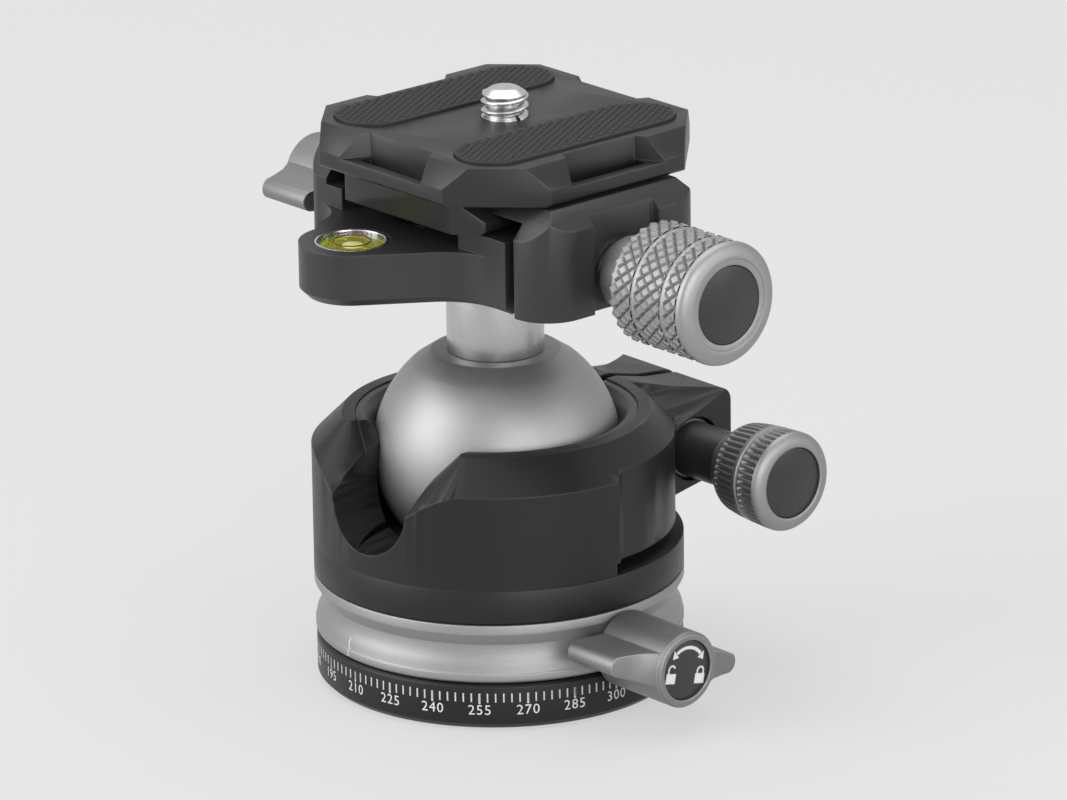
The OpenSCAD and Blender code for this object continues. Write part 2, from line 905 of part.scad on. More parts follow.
module ball() {
    cut_r = sqrt(pow(ball_r, 2) - pow(cone_low, 2));
    color([0.5, 0.5, 0.5])
        translate([0, 0, ball_z])
            difference() {
                union() {
                    difference() {
                        sphere(r = ball_r);
                        translate([-2 * ball_r, -2 * ball_r, cone_low])
                            cube(4 * ball_r);
                    }
                    translate([0, 0, cone_low])
                        cylinder(r1 = cut_r, r2 = cone_top_r, h = cone_high - cone_low);
                }
                translate([0, 0, cone_high - spigot_l])
                    cylinder(r = spigot_r + run_gap, h = spigot_l + over);
            }
}

module stem() {
    color([0.7, 0.7, 0.7])
        difference() {
            union() {
                translate([0, 0, ball_z + cone_high])
                    cylinder(r = stem_r, h = clamp_z - ball_z - cone_high);
                translate([0, 0, ball_z + cone_high - spigot_l])
                    cylinder(r = spigot_r, h = spigot_l + over);
            }
            stem_screw_set(0);
        }
}

// The two screws that hold the clamp on the stem, either side of the draw rod
module stem_screw_set(gap) {
    for (s = [-1, 1])
        translate([0, s * stem_screw_at, floor_z - face_gap])
            sunk_screw(small_head_r + gap, small_head_h, small_screw_r + gap, stem_screw_l);
}

module stem_screws() {
    color("dimgray")
        stem_screw_set(0);
}

// Clamp

// Outline of the clamp base seen from above, with the lobe that holds the level
module clamp_plan() {
    half = clamp_half;
    difference() {
        union() {
            translate([-clamp_back + clamp_round, -half])
                square([clamp_back + clamp_front - clamp_round, 2 * half]);
            translate([-clamp_back, -half + clamp_round])
                square([2 * clamp_round, 2 * (half - clamp_round)]);
            for (s = [-1, 1])
                translate([-clamp_back + clamp_round, s * (half - clamp_round)])
                    circle(r = clamp_round);
            translate([lobe_x, lobe_y])
                circle(r = lobe_r);
            polygon([lobe_left, [lobe_x, lobe_y], lobe_right, sweep_end, [sweep_right_x, -half], [0, 0],
                [sweep_left_x, -half]]);
        }
        translate([sweep_right_x, -half - sweep_r])
            circle(r = sweep_r);
        translate([sweep_left_x, -half - left_sweep_r])
            circle(r = left_sweep_r);
    }
}

// Cuts the lower edge at 45 degrees along a straight side that runs from a to b
module edge_cut(a, b) {
    run = b - a;
    translate([a[0], a[1], clamp_z])
        rotate([0, 0, atan2(run[1], run[0])])
            rotate([90, 0, 90])
                linear_extrude(norm(run))
                    polygon([[-over, -over], [clamp_edge + over, -over], [-over, clamp_edge + over]]);
}

// Cuts the lower edge at 45 degrees round an inside curve
module sweep_cut(x, r) {
    translate([x, -clamp_half - r, clamp_z - over])
        cylinder(r1 = r + clamp_edge + over, r2 = r - over, h = clamp_edge + 2 * over);
}

module lobe_cut() {
    translate([lobe_x, lobe_y, clamp_z])
        rotate([0, 0, lobe_start])
            rotate_extrude(angle = lobe_turn)
                polygon([[lobe_r - clamp_edge - over, -over], [lobe_r + over, -over],
                    [lobe_r + over, clamp_edge + over]]);
}

// Space under the back jaw's hook and the plate's groove, as a shape across the jaws
module groove_space() {
    flank = dove_z + dove_band;
    back = plate_x - dove_x / 2 - grip_gap;
    polygon([[back_jaw_x, seat_z], [back_jaw_x, hook_z], [back + hook_z - flank, hook_z],
        [back + jaw_top_z + over - flank, jaw_top_z + over], [clamp_front + over, jaw_top_z + over],
        [clamp_front + over, seat_z]]);
}

// Bevels at both ends of a jaw that starts at x
module end_bevel(x, l) {
    for (s = [-1, 1])
        translate([x, s * clamp_half, jaw_top_z - jaw_end_cut])
            rotate([s * end_slope, 0, 0])
                translate([0, s > 0 ? 0 : -jaw_end_cut, 0])
                    cube([l, jaw_end_cut, 2 * jaw_end_cut]);
}

module clamp_base() {
    half = clamp_half;
    color([0.13, 0.13, 0.14])
        difference() {
            union() {
                translate([0, 0, clamp_z])
                    linear_extrude(floor_h)
                        clamp_plan();
                translate([0, 0, clamp_z])
                    intersection() {
                        linear_extrude(jaw_top_z - clamp_z)
                            clamp_plan();
                        translate([-clamp_back - over, -half, 0])
                            cube([clamp_back + clamp_front + 2 * over, 2 * half, jaw_top_z]);
                    }
            }
            rotate([90, 0, 0])
                translate([0, 0, -half - over])
                    linear_extrude(2 * (half + over))
                        groove_space();
            translate([seat_back_x, -half - over, floor_z])
                cube([seat_front_x - seat_back_x, 2 * (half + over), seat_z - floor_z + nick]);
            end_bevel(-clamp_back - over, clamp_back);
            edge_cut([clamp_front, half], [-clamp_back, half]);
            edge_cut([-clamp_back, half], [-clamp_back, -half]);
            edge_cut(lobe_right, sweep_end);
            edge_cut([sweep_right_x, -half], [clamp_front, -half]);
            sweep_cut(sweep_right_x, sweep_r);
            sweep_cut(sweep_left_x, left_sweep_r);
            lobe_cut();
            translate([lobe_x, lobe_y, floor_z - cup_h])
                cylinder(r = level_r, h = cup_h + over);
            for (s = [-1, 1]) {
                translate([-pin_deep, s * pin_y, clamp_z + pin_h])
                    rod_x(0, pin_r, clamp_front + pin_deep + over);
                translate([pin_slot_x, s * pin_y - pin_r - face_gap, clamp_z + pin_h])
                    cube([pin_slot_l, 2 * (pin_r + face_gap), floor_h]);
            }
            translate([0, 0, screw_z])
                rod_x(-clamp_back - over, rod_r + run_gap, clamp_back + clamp_front + 2 * over);
            translate([0, 0, screw_z])
                rod_x(-clamp_back - over, bush_in_r, bush_deep + over);
            stem_screw_set(0);
        }
}

module level_cup() {
    color("silver")
        translate([lobe_x, lobe_y, floor_z - cup_h])
            difference() {
                cylinder(r = level_r, h = cup_h);
                translate([0, 0, cup_wall])
                    cylinder(r = level_r - cup_wall, h = cup_h);
            }
}

module level_liquid() {
    color([0.8, 0.9, 0.2])
        translate([lobe_x, lobe_y, floor_z - cup_h + cup_wall])
            cylinder(r = level_r - cup_wall, h = cup_h - cup_wall - lens_t - lens_sunk);
}

module level_lens() {
    color("white")
        translate([lobe_x, lobe_y, floor_z - lens_t - lens_sunk])
            cylinder(r = level_r - cup_wall, h = lens_t);
}

module guide_pins() {
    color("silver")
        for (s = [-1, 1])
            translate([-pin_deep, s * pin_y, clamp_z + pin_h])
                rod_x(0, pin_r, pin_deep + jaw_out - jaw_recess - web_t);
}

// The fixed bush that the clamp lever turns against
module cam_bush() {
    color([0.13, 0.13, 0.14])
        translate([0, 0, screw_z])
            difference() {
                union() {
                    rod_x(-clamp_back - bush_out, bush_out_r, bush_out);
                    rod_x(-clamp_back, bush_in_r, bush_deep);
                }
                rod_x(-clamp_back - bush_out - over, rod_r + run_gap, bush_out + bush_deep + 2 * over);
            }
}

module place_clamp_lever() {
    translate([-clamp_back - bush_out - cap_gap, 0, screw_z])
        mirror([1, 0, 0])
            rotate([clamp_turn, 0, 0])
                children();
}

module clamp_lever() {
    color([0.6, 0.6, 0.61])
        place_clamp_lever()
            difference() {
                wing_lever(rod_r + run_gap);
                rod_x(chamber_x, chamber_r, lever_l - cap_t - cap_sunk - chamber_x);
            }
}

module clamp_lever_cap() {
    color([0.15, 0.15, 0.16])
        place_clamp_lever()
            rod_x(lever_l - cap_t - cap_sunk, cap_r, cap_t);
}

// The rod that the clamp lever pulls, from the cross pin to the thread of the clamp knob
module draw_rod() {
    back = cross_pin_x - 2 * cross_pin_r;
    color("silver")
        translate([0, 0, screw_z])
            difference() {
                rod_x(back, rod_r, knob_x + knob_full - cap_t - cap_sunk - rod_end - back);
                translate([cross_pin_x, 0, -cross_pin_l])
                    cylinder(r = cross_pin_r, h = 2 * cross_pin_l);
            }
}

module cross_pin() {
    color("dimgray")
        translate([cross_pin_x, 0, screw_z - cross_pin_l / 2])
            cylinder(r = cross_pin_r, h = cross_pin_l);
}

// Jaw

module jaw_plan() {
    inner = jaw_out - jaw_round;
    difference() {
        union() {
            translate([jaw_x, -clamp_half])
                square([inner - jaw_x, 2 * clamp_half]);
            translate([jaw_x, -clamp_half + jaw_round])
                square([jaw_t, 2 * (clamp_half - jaw_round)]);
            for (s = [-1, 1])
                intersection() {
                    translate([inner, s * (clamp_half - jaw_round)])
                        circle(r = jaw_round);
                    translate([jaw_x, -clamp_half])
                        square([jaw_t, 2 * clamp_half]);
                }
        }
        translate([jaw_out - jaw_recess, -jaw_recess_half])
            square([2 * jaw_recess, 2 * jaw_recess_half]);
    }
}

module clamp_jaw() {
    flank = dove_z + dove_band;
    front = plate_x + dove_x / 2 + grip_gap;
    color([0.13, 0.13, 0.14])
        difference() {
            union() {
                translate([0, 0, clamp_z])
                    linear_extrude(jaw_top_z - clamp_z)
                        jaw_plan();
                rotate([90, 0, 0])
                    translate([0, 0, -clamp_half])
                        linear_extrude(2 * clamp_half)
                            polygon([[jaw_x + over, hook_z], [front + flank - hook_z, hook_z],
                                [front + flank - jaw_top_z, jaw_top_z], [jaw_x + over, jaw_top_z]]);
            }
            translate([jaw_out, 0, jaw_top_z - jaw_bevel])
                rotate([0, -45, 0])
                    translate([0, -clamp_half - over, 0])
                        cube([2 * jaw_bevel, 2 * (clamp_half + over), 2 * jaw_bevel]);
            end_bevel(0, jaw_out + over);
            for (s = [-1, 1])
                translate([0, s * pin_y, clamp_z + pin_h])
                    rod_x(jaw_x - over, pin_r + run_gap, jaw_t - jaw_recess - web_t / 2 + over);
            translate([0, 0, screw_z])
                rod_x(jaw_x - over, rod_r + run_gap, jaw_t + 2 * over);
        }
}

module jaw_washer() {
    color("silver")
        translate([jaw_out - jaw_recess, 0, screw_z])
            difference() {
                rod_x(0, thrust_r, thrust_t - cap_gap);
                rod_x(-over, rod_r + run_gap, thrust_t + 2 * over);
            }
}

// Clamp knob, with its thread insert

// Profile of the clamp knob's smooth rim as [distance, radius]
function knob_rim_points() = [[knob_full - knob_bevel, 0], [knob_full - knob_bevel, clamp_knob_r - nick / 2],
    [knob_full - 0.8 * knob_bevel, clamp_knob_r - nick / 4], [knob_full - 0.5 * knob_bevel, clamp_knob_r - nick],
    [knob_full - 0.2 * knob_bevel, clamp_knob_r - knob_bevel], [knob_full, knob_ring_r], [knob_full, 0]];

// The knurled body of the clamp knob, one row of points after another, as pyramids between grooves
module knurled_body() {
    n = 2 * knurls;
    rows = len(knurl_row_shares);
    low = clamp_knob_r - knurl_d;
    points = [for (j = [0 : rows - 1], i = [0 : n - 1])
        let (row = knurl_row_shares[j], a = i * 360 / n, r = low + knurl_d * row[1 + i % 2])
        [row[0] * clamp_knob_l, r * cos(a), r * sin(a)]];
    sides = [for (j = [0 : rows - 2], i = [0 : n - 1])
        let (a = j * n + i, b = j * n + (i + 1) % n, c = b + n, d = a + n,
            here = knurl_row_shares[j], next = knurl_row_shares[j + 1], near = 1 + i % 2, far = 2 - i % 2)
        each here[near] + next[far] > here[far] + next[near] ? [[d, b, a], [d, c, b]] : [[c, b, a], [d, c, a]]];
    near_end = [for (i = [0 : n - 1]) i];
    far_end = [for (i = [0 : n - 1]) rows * n - 1 - i];
    polyhedron(points, concat(sides, [near_end], [far_end]));
}

module clamp_knob() {
    start = knurl_x - knob_x;
    color([0.6, 0.6, 0.61])
        translate([knob_x, 0, screw_z])
            difference() {
                union() {
                    rod_x(0, boss_r, start + nick);
                    translate([start, 0, 0])
                        knurled_body();
                    turned_x(knob_rim_points());
                }
                rod_x(knob_full - cap_t - cap_sunk, knob_cap_r + cap_gap, cap_t + cap_sunk + over);
                rod_x(knob_full - cap_t - cap_sunk - nut_l, nut_r, nut_l + over);
                rod_x(-over, rod_r + run_gap, knob_full);
            }
}

module knob_nut() {
    color("goldenrod")
        translate([knob_x + knob_full - cap_t - cap_sunk - nut_l, 0, screw_z])
            difference() {
                rod_x(0, nut_r, nut_l);
                rod_x(-over, rod_r + run_gap / 2, nut_l + 2 * over);
            }
}

module clamp_knob_cap() {
    color([0.15, 0.15, 0.16])
        translate([knob_x + knob_full - cap_t - cap_sunk, 0, screw_z])
            rod_x(0, knob_cap_r, cap_t);
}

// Plate

// A strap window in the side that lies at the given distance along +X
module strap_slot(side) {
    inner = side - bevel_in - slot_edge;
    translate([0, 0, lip_top_z - slot_step])
        linear_extrude(2 * bevel)
            polygon([[inner, -slot_in], [side + over, -slot_out], [side + over, slot_out], [inner, slot_in]]);
    translate([inner, -slot_in, lip_z - over])
        cube([side - slot_bar - inner, 2 * slot_in, lip_h + bevel]);
}

module release_plate() {
    lip_x = top_x + 2 * bevel_in;
    lip_y = top_y + 2 * bevel_in;
    facet = (top_x + top_y) / 2 - corner_cut;
    color([0.2, 0.2, 0.21])
        difference() {
            union() {
                difference() {
                    intersection() {
                    translate([plate_x, plate_y + lip_y / 2, 0])
                        rotate([90, 0, 0])
                            linear_extrude(lip_y)
                                side_outline(lip_x / 2, top_x / 2);
                    translate([plate_x - lip_x / 2, plate_y, 0])
                        rotate([90, 0, 90])
                            linear_extrude(lip_x)
                                side_outline(lip_y / 2, top_y / 2);
                    translate([plate_x, plate_y, lip_z])
                        rotate([0, 0, 45])
                            translate([-facet * sqrt(0.5), -facet * sqrt(0.5), 0])
                                cube([2 * facet * sqrt(0.5), 2 * facet * sqrt(0.5), lip_h + bevel]);
                    }
                    for (turn = [0, 90, 180, 270])
                        translate([plate_x, plate_y, 0])
                            rotate([0, 0, turn])
                                strap_slot(turn % 180 == 0 ? lip_x / 2 : lip_y / 2);
                }
                dovetail();
            }
            for (s = [-1, 1])
                translate([plate_x + s * pad_at, plate_y, top_z - pad_deep])
                    linear_extrude(pad_deep + over)
                        stadium(pad_w / 2 + cap_gap);
            translate([plate_x, plate_y, 0]) {
                translate([0, 0, dove_z - over])
                    cylinder(r = camera_r + run_gap, h = top_z - dove_z + 2 * over);
                translate([0, 0, dove_z - over])
                    cylinder(r = head_r + face_gap, h = head_z + head_h + face_gap - dove_z + over);
                translate([0, 0, clip_z])
                    cylinder(r = head_r + face_gap + clip_bite, h = clip_t);
            }
        }
}

// Half outline of the plate's side, in half width and height
module side_outline(lip, top) {
    polygon([[-lip + lip_edge, lip_z], [-lip, lip_z + lip_edge], [-lip, lip_top_z], [-top, top_z], [top, top_z],
        [lip, lip_top_z], [lip, lip_z + lip_edge], [lip - lip_edge, lip_z]]);
}

module dovetail() {
    half = dove_x / 2;
    rise = dove_h - dove_band;
    facet = (dove_x + dove_y) / 2 - dove_corner;
    intersection() {
        translate([plate_x, plate_y + dove_y / 2, dove_z])
            rotate([90, 0, 0])
                linear_extrude(dove_y)
                    polygon([[-half + nick, 0], [-half, nick], [-half, dove_band], [-half + rise, dove_h],
                        [-half + rise, dove_h + nick], [half - rise, dove_h + nick], [half - rise, dove_h],
                        [half, dove_band], [half, nick], [half - nick, 0]]);
        translate([plate_x, plate_y, dove_z])
            rotate([0, 0, 45])
                translate([-facet * sqrt(0.5), -facet * sqrt(0.5), 0])
                    cube([2 * facet * sqrt(0.5), 2 * facet * sqrt(0.5), dove_h + nick]);
    }
}

module stadium(r) {
    square([2 * r, 2 * pad_l_half], center = true);
    for (s = [-1, 1])
        translate([0, s * pad_l_half])
            circle(r = r);
}

module rubber_pad(s) {
    color([0.1, 0.1, 0.1])
        translate([plate_x + s * pad_at, plate_y, top_z - pad_deep])
            linear_extrude(pad_deep + pad_up)
                stadium(pad_w / 2);
}

module front_pad() {
    rubber_pad(1);
}

module rear_pad() {
    rubber_pad(-1);
}

module camera_screw() {
    top = top_z + camera_h;
    color("silver")
        translate([plate_x, plate_y, 0])
            difference() {
                union() {
                    translate([0, 0, head_z])
                        cylinder(r = head_r, h = head_h);
                    translate([0, 0, head_z + head_h - nick])
                        cylinder(r = camera_r - camera_core, h = top_z - head_z - head_h + 2 * nick);
                    translate([0, 0, top_z])
                        cylinder(r = camera_r, h = camera_h - camera_dome);
                    translate([0, 0, top - camera_dome])
                        cylinder(r1 = camera_r, r2 = camera_r - camera_dome, h = camera_dome);
                }
                translate([-head_r - over, -slot_w / 2, head_z - over])
                    cube([2 * (head_r + over), slot_w, slot_deep + over]);
            }
}

// The spring clip in the plate that keeps the camera screw from falling out
module screw_clip() {
    color("dimgray")
        translate([plate_x, plate_y, 0])
            difference() {
                ring(clip_z, clip_in, head_r + face_gap + clip_bite, clip_t);
                translate([0, -clip_in / 2, clip_z - over])
                    cube([2 * head_r, clip_in, clip_t + 2 * over]);
            }
}

scale_base();
tripod_bush();
pan_washer();
pan_retainer();
retainer_screws();
pan_collar();
collar_screws();
housing_screws();
brake_pad();
pan_lock_screw();
pan_lever();
pan_lever_screw();
pan_lever_cap();
lower_housing();
seat_spring();
lower_seat();
ball_housing();
upper_seat_ring();
lock_insert();
lock_screw();
lock_washer();
knob_neck();
main_knob();
main_knob_screw();
main_knob_cap();
ball();
stem();
stem_screws();
clamp_base();
level_cup();
level_liquid();
level_lens();
guide_pins();
cam_bush();
clamp_lever();
cross_pin();
clamp_lever_cap();
draw_rod();
clamp_jaw();
jaw_washer();
clamp_knob();
knob_nut();
clamp_knob_cap();
release_plate();
front_pad();
rear_pad();
camera_screw();
screw_clip();
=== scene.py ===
from math import atan2, cos, pi, radians, sin

import bpy
from mathutils import Matrix, Vector


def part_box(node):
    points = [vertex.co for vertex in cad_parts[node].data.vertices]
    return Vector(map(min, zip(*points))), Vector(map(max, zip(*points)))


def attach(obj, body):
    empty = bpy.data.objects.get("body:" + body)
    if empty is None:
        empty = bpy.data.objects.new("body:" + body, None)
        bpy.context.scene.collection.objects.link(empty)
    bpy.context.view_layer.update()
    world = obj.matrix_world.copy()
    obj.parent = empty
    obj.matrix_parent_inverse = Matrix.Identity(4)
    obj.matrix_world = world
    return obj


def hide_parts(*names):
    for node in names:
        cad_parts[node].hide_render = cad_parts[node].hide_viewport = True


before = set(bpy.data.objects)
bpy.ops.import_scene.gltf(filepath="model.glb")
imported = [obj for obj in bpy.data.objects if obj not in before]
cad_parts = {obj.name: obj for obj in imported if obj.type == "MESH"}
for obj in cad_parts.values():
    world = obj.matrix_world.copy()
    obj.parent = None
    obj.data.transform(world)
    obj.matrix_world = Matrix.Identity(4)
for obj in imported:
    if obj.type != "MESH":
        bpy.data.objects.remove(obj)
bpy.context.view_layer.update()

# Studio: a pale table, two soft boxes, an overhead panel and a front fill. The table glows faintly to the
# camera, so that its tone stays even, and still takes the object's shadow. The camera stands where the
# photograph's did.
def give(tree, socket, value):
    if isinstance(value, bpy.types.NodeSocket):
        tree.links.new(value, socket)
    else:
        socket.default_value = value


def add(tree, kind, inputs=None, **settings):
    node = tree.nodes.new(kind)
    for name, value in settings.items():
        setattr(node, name, value)
    for name, value in (inputs or {}).items():
        give(tree, node.inputs[name], value)
    return node


def maths(tree, operation, *values, clamp=False):
    node = add(tree, "ShaderNodeMath", dict(enumerate(values)), operation=operation, use_clamp=clamp)
    return node.outputs[0]


def grey(value):
    return (value, value, value, 1)


scene = bpy.context.scene
scene.view_settings.view_transform = "Standard"
lens = bpy.data.cameras.new("studio_camera")
lens.lens = 278.2
lens.sensor_width = 36
lens.sensor_fit = "HORIZONTAL"
lens.clip_start = 0.05
lens.clip_end = 20
camera = bpy.data.objects.new("studio_camera", lens)
scene.collection.objects.link(camera)
stands_at = (0.79486, -0.68492, 0.39083)
to_right = Vector((0.6564, 0.7545, 0)).normalized()
to_front = Vector((-0.7151, 0.6221, -0.3189)).normalized()
to_top = to_right.cross(to_front).normalized()
roll = radians(0.8486)
frame_x = to_right * cos(roll) - to_top * sin(roll)
frame_y = to_right * sin(roll) + to_top * cos(roll)
turned_to = Matrix((frame_x, frame_y, -to_front)).transposed().to_4x4()
camera.matrix_world = Matrix.Translation(stands_at) @ turned_to
scene.camera = camera

table_size, table_z = 8, -0.0002
table_lit, table_glow, table_plain = grey(0.2), 0.54, grey(0.75)
bpy.ops.mesh.primitive_plane_add(size=table_size, location=(0, 0, table_z))
table = bpy.context.object
table.name = "studio_table"
paper = bpy.data.materials.new("table_paper")
paper.use_nodes = True
tree = paper.node_tree
tree.nodes.clear()
ray = add(tree, "ShaderNodeLightPath").outputs
seen = maths(tree, "MAXIMUM", ray["Is Camera Ray"], ray["Is Glossy Ray"])
seen = maths(tree, "MAXIMUM", seen, ray["Is Transmission Ray"])
lit = add(tree, "ShaderNodeBsdfDiffuse", {"Color": table_lit})
glow = add(tree, "ShaderNodeEmission", {"Color": grey(1), "Strength": table_glow})
both = add(tree, "ShaderNodeAddShader", {0: lit.outputs[0], 1: glow.outputs[0]})
plain = add(tree, "ShaderNodeBsdfDiffuse", {"Color": table_plain})
pick = add(tree, "ShaderNodeMixShader", {0: seen, 1: plain.outputs[0], 2: both.outputs[0]})
add(tree, "ShaderNodeOutputMaterial", {"Surface": pick.outputs[0]})
table.data.materials.append(paper)

# The air is brighter to shiny faces than to dull ones
air_dull, air_shiny = 0.3, 0.66
world = bpy.data.worlds.new("studio_air")
world.use_nodes = True
tree = world.node_tree
ray = add(tree, "ShaderNodeLightPath").outputs
strength = add(tree, "ShaderNodeMapRange", {"Value": ray["Is Glossy Ray"], "To Min": air_dull,
    "To Max": air_shiny})
background = tree.nodes["Background"]
give(tree, background.inputs["Color"], grey(1))
give(tree, background.inputs["Strength"], strength.outputs["Result"])
scene.world = world
middle = Vector((0, 0, 0.04))
level_front = Vector((to_front.x, to_front.y, 0)).normalized()
# Each lamp stands so far to the right, in front and up, and has a size in metres and a power in watts
for name, right, front, up, size, power in (
        ("left_softbox", -1.0, 0.3, 0.45, (1.0, 1.0), 11), ("right_softbox", 1.0, 0.4, 0.25, (0.6, 0.9), 3),
        ("overhead_panel", 0.0, -0.2, 1.1, (1.4, 1.1), 10), ("front_fill", 0.45, 1.1, 0.35, (0.9, 0.7), 8)):
    lamp = bpy.data.lights.new(name, "AREA")
    lamp.shape = "RECTANGLE"
    lamp.size, lamp.size_y = size
    lamp.energy = power
    holder = bpy.data.objects.new(name, lamp)
    scene.collection.objects.link(holder)
    holder.location = middle + to_right * right - level_front * front + Vector((0, 0, up))
    holder.rotation_euler = (middle - holder.location).to_track_quat("-Z", "Y").to_euler()

# Scale base: the disc that stands on the tripod, turned from black anodised aluminium. Its edges are broken
# with a small chamfer, and the degree scale is printed in white round its side.
def node_group(name, inputs, outputs, kind="ShaderNodeTree"):
    group = bpy.data.node_groups.new(name, kind)
    for socket, sort, value in inputs:
        made = group.interface.new_socket(socket, in_out="INPUT", socket_type=sort)
        if value is not None:
            made.default_value = value
    for socket, sort in outputs:
        group.interface.new_socket(socket, in_out="OUTPUT", socket_type=sort)
    return group, add(group, "NodeGroupInput").outputs, add(group, "NodeGroupOutput").inputs


def noise(tree, vector, scale, detail, rough):
    return add(tree, "ShaderNodeTexNoise", {"Vector": vector, "Scale": scale, "Detail": detail,
        "Roughness": rough}).outputs["Fac"]


def swing(tree, pattern, amount, base):
    return maths(tree, "MULTIPLY_ADD", maths(tree, "SUBTRACT", pattern, 0.5), amount, base)


# The finish of a machined part: cutter lines along it, a fine grain, and edges painted bright, partly as
# rubbed wear and partly as a painted highlight on their small chamfers
cloud_scale, cloud_tone, cloud_dull, grain_dull = 60.0, 0.12, 0.15, 0.25
edge_gain, worn_gain, worn_floor, worn_and_highlit_edge_polish = 7.0, 1.6, -0.2, -0.12
machined, given, made = node_group("machined_finish", [
    ("Lines Vector", "NodeSocketVector", None), ("Colour", "NodeSocketColor", grey(0.1)),
    ("Edge Wear And Highlight Colour", "NodeSocketColor", grey(0.4)), ("Edge Width", "NodeSocketFloat", 0.00025),
    ("Edge Wear And Highlight Amount", "NodeSocketFloat", 0.6), ("Lines", "NodeSocketFloat", 0.3),
    ("Grain", "NodeSocketFloat", 0.3), ("Grain Scale", "NodeSocketFloat", 3000.0),
    ("Roughness", "NodeSocketFloat", 0.45), ("Relief", "NodeSocketFloat", 0.00002)],
    [("Colour", "NodeSocketColor"), ("Roughness", "NodeSocketFloat"), ("Normal", "NodeSocketVector")])
place = add(machined, "ShaderNodeTexCoord").outputs["Object"]
lines = noise(machined, given["Lines Vector"], 1.0, 3.0, 0.6)
grain = noise(machined, place, given["Grain Scale"], 2.0, 0.6)
clouds = noise(machined, place, cloud_scale, 3.0, 0.55)
rounded = add(machined, "ShaderNodeBevel", {"Radius": given["Edge Width"]}, samples=4).outputs[0]
true_normal = add(machined, "ShaderNodeNewGeometry").outputs["Normal"]
same_way = add(machined, "ShaderNodeVectorMath", {0: rounded, 1: true_normal}, operation="DOT_PRODUCT")
bent = maths(machined, "SUBTRACT", 1.0, same_way.outputs["Value"])
# Painted highlight: sharp edges are lightened in colour and made smoother, in cloudy patches like rubbed wear
edge = maths(machined, "MULTIPLY", bent, edge_gain, clamp=True)
worn = maths(machined, "MULTIPLY_ADD", clouds, worn_gain, worn_floor, clamp=True)
worn_and_highlit_edge = maths(machined, "MULTIPLY", edge, worn)
worn_and_highlit_edge = maths(machined, "MULTIPLY", worn_and_highlit_edge, given["Edge Wear And Highlight Amount"], clamp=True)
tone = swing(machined, lines, given["Lines"], 1.0)
tone = swing(machined, grain, given["Grain"], tone)
tone = swing(machined, clouds, cloud_tone, tone)
toned = add(machined, "ShaderNodeVectorMath", {0: given["Colour"], "Scale": tone}, operation="SCALE")
coloured = add(machined, "ShaderNodeMix", {0: worn_and_highlit_edge, 6: toned.outputs[0], 7: given["Edge Wear And Highlight Colour"]},
    data_type="RGBA")
spread = swing(machined, grain, grain_dull, given["Roughness"])
spread = swing(machined, clouds, cloud_dull, spread)
spread = maths(machined, "MULTIPLY_ADD", worn_and_highlit_edge, worn_and_highlit_edge_polish, spread, clamp=True)
height = maths(machined, "MULTIPLY", grain, given["Grain"])
height = maths(machined, "MULTIPLY_ADD", lines, given["Lines"], height)
relief = add(machined, "ShaderNodeBump", {"Strength": 1.0, "Distance": given["Relief"], "Height": height,
    "Normal": rounded})
give(machined, made["Colour"], coloured.outputs[2])
give(machined, made["Roughness"], spread)
give(machined, made["Normal"], relief.outputs[0])

# The way cutter lines run when a part is turned: rings round an axis that stands at a point
ring_lines, given, made = node_group("ring_lines", [
    ("Centre", "NodeSocketVector", (0, 0, 0)), ("Turn", "NodeSocketVector", (0, 0, 0)),
    ("Fineness", "NodeSocketFloat", 9000.0)], [("Vector", "NodeSocketVector")])
place = add(ring_lines, "ShaderNodeTexCoord").outputs["Object"]
shift = add(ring_lines, "ShaderNodeVectorMath", {0: place, 1: given["Centre"]}, operation="SUBTRACT")
spun = add(ring_lines, "ShaderNodeVectorRotate", {"Vector": shift.outputs[0], "Rotation": given["Turn"]},
    rotation_type="EULER_XYZ")
across, over, along_axis = add(ring_lines, "ShaderNodeSeparateXYZ", {0: spun.outputs[0]}).outputs
squares = [maths(ring_lines, "POWER", side, 2.0) for side in (across, over)]
far = maths(ring_lines, "SQRT", maths(ring_lines, "ADD", *squares))
around = maths(ring_lines, "ABSOLUTE", maths(ring_lines, "ARCTAN2", over, across))
rings = add(ring_lines, "ShaderNodeCombineXYZ", {
    0: maths(ring_lines, "MULTIPLY", far, given["Fineness"]),
    1: maths(ring_lines, "MULTIPLY", along_axis, given["Fineness"]),
    2: maths(ring_lines, "MULTIPLY", around, 1.5)})
give(ring_lines, made["Vector"], rings.outputs[0])


def finish(name, colour, edge_wear_and_highlight_colour, metallic, roughness, lines=0.2, grain=0.25, grain_scale=3000.0,
           relief=0.000015, edge_width=0.0002, edge_wear_and_highlight_amount=0.6, centre=None, turn=(0, 0, 0), fineness=9000.0,
           along=(400, 400, 6000), specular=0.5):
    material = bpy.data.materials.new(name)
    material.use_nodes = True
    tree = material.node_tree
    if centre is None:
        place = add(tree, "ShaderNodeTexCoord").outputs["Object"]
        way = add(tree, "ShaderNodeMapping", {"Vector": place, "Scale": along})
    else:
        way = add(tree, "ShaderNodeGroup", node_tree=ring_lines,
            inputs={"Centre": centre, "Turn": turn, "Fineness": fineness})
    surface = add(tree, "ShaderNodeGroup", node_tree=machined, inputs={
        "Lines Vector": way.outputs[0], "Colour": (*colour, 1) if isinstance(colour, tuple) else grey(colour),
        "Edge Wear And Highlight Colour": grey(edge_wear_and_highlight_colour), "Edge Width": edge_width, "Edge Wear And Highlight Amount": edge_wear_and_highlight_amount,
        "Lines": lines, "Grain": grain, "Grain Scale": grain_scale, "Roughness": roughness, "Relief": relief})
    shader = tree.nodes["Principled BSDF"].inputs
    give(tree, shader["Metallic"], metallic)
    give(tree, shader["Specular IOR Level"], specular)
    give(tree, shader["Base Color"], surface.outputs["Colour"])
    give(tree, shader["Roughness"], surface.outputs["Roughness"])
    give(tree, shader["Normal"], surface.outputs["Normal"])
    return material


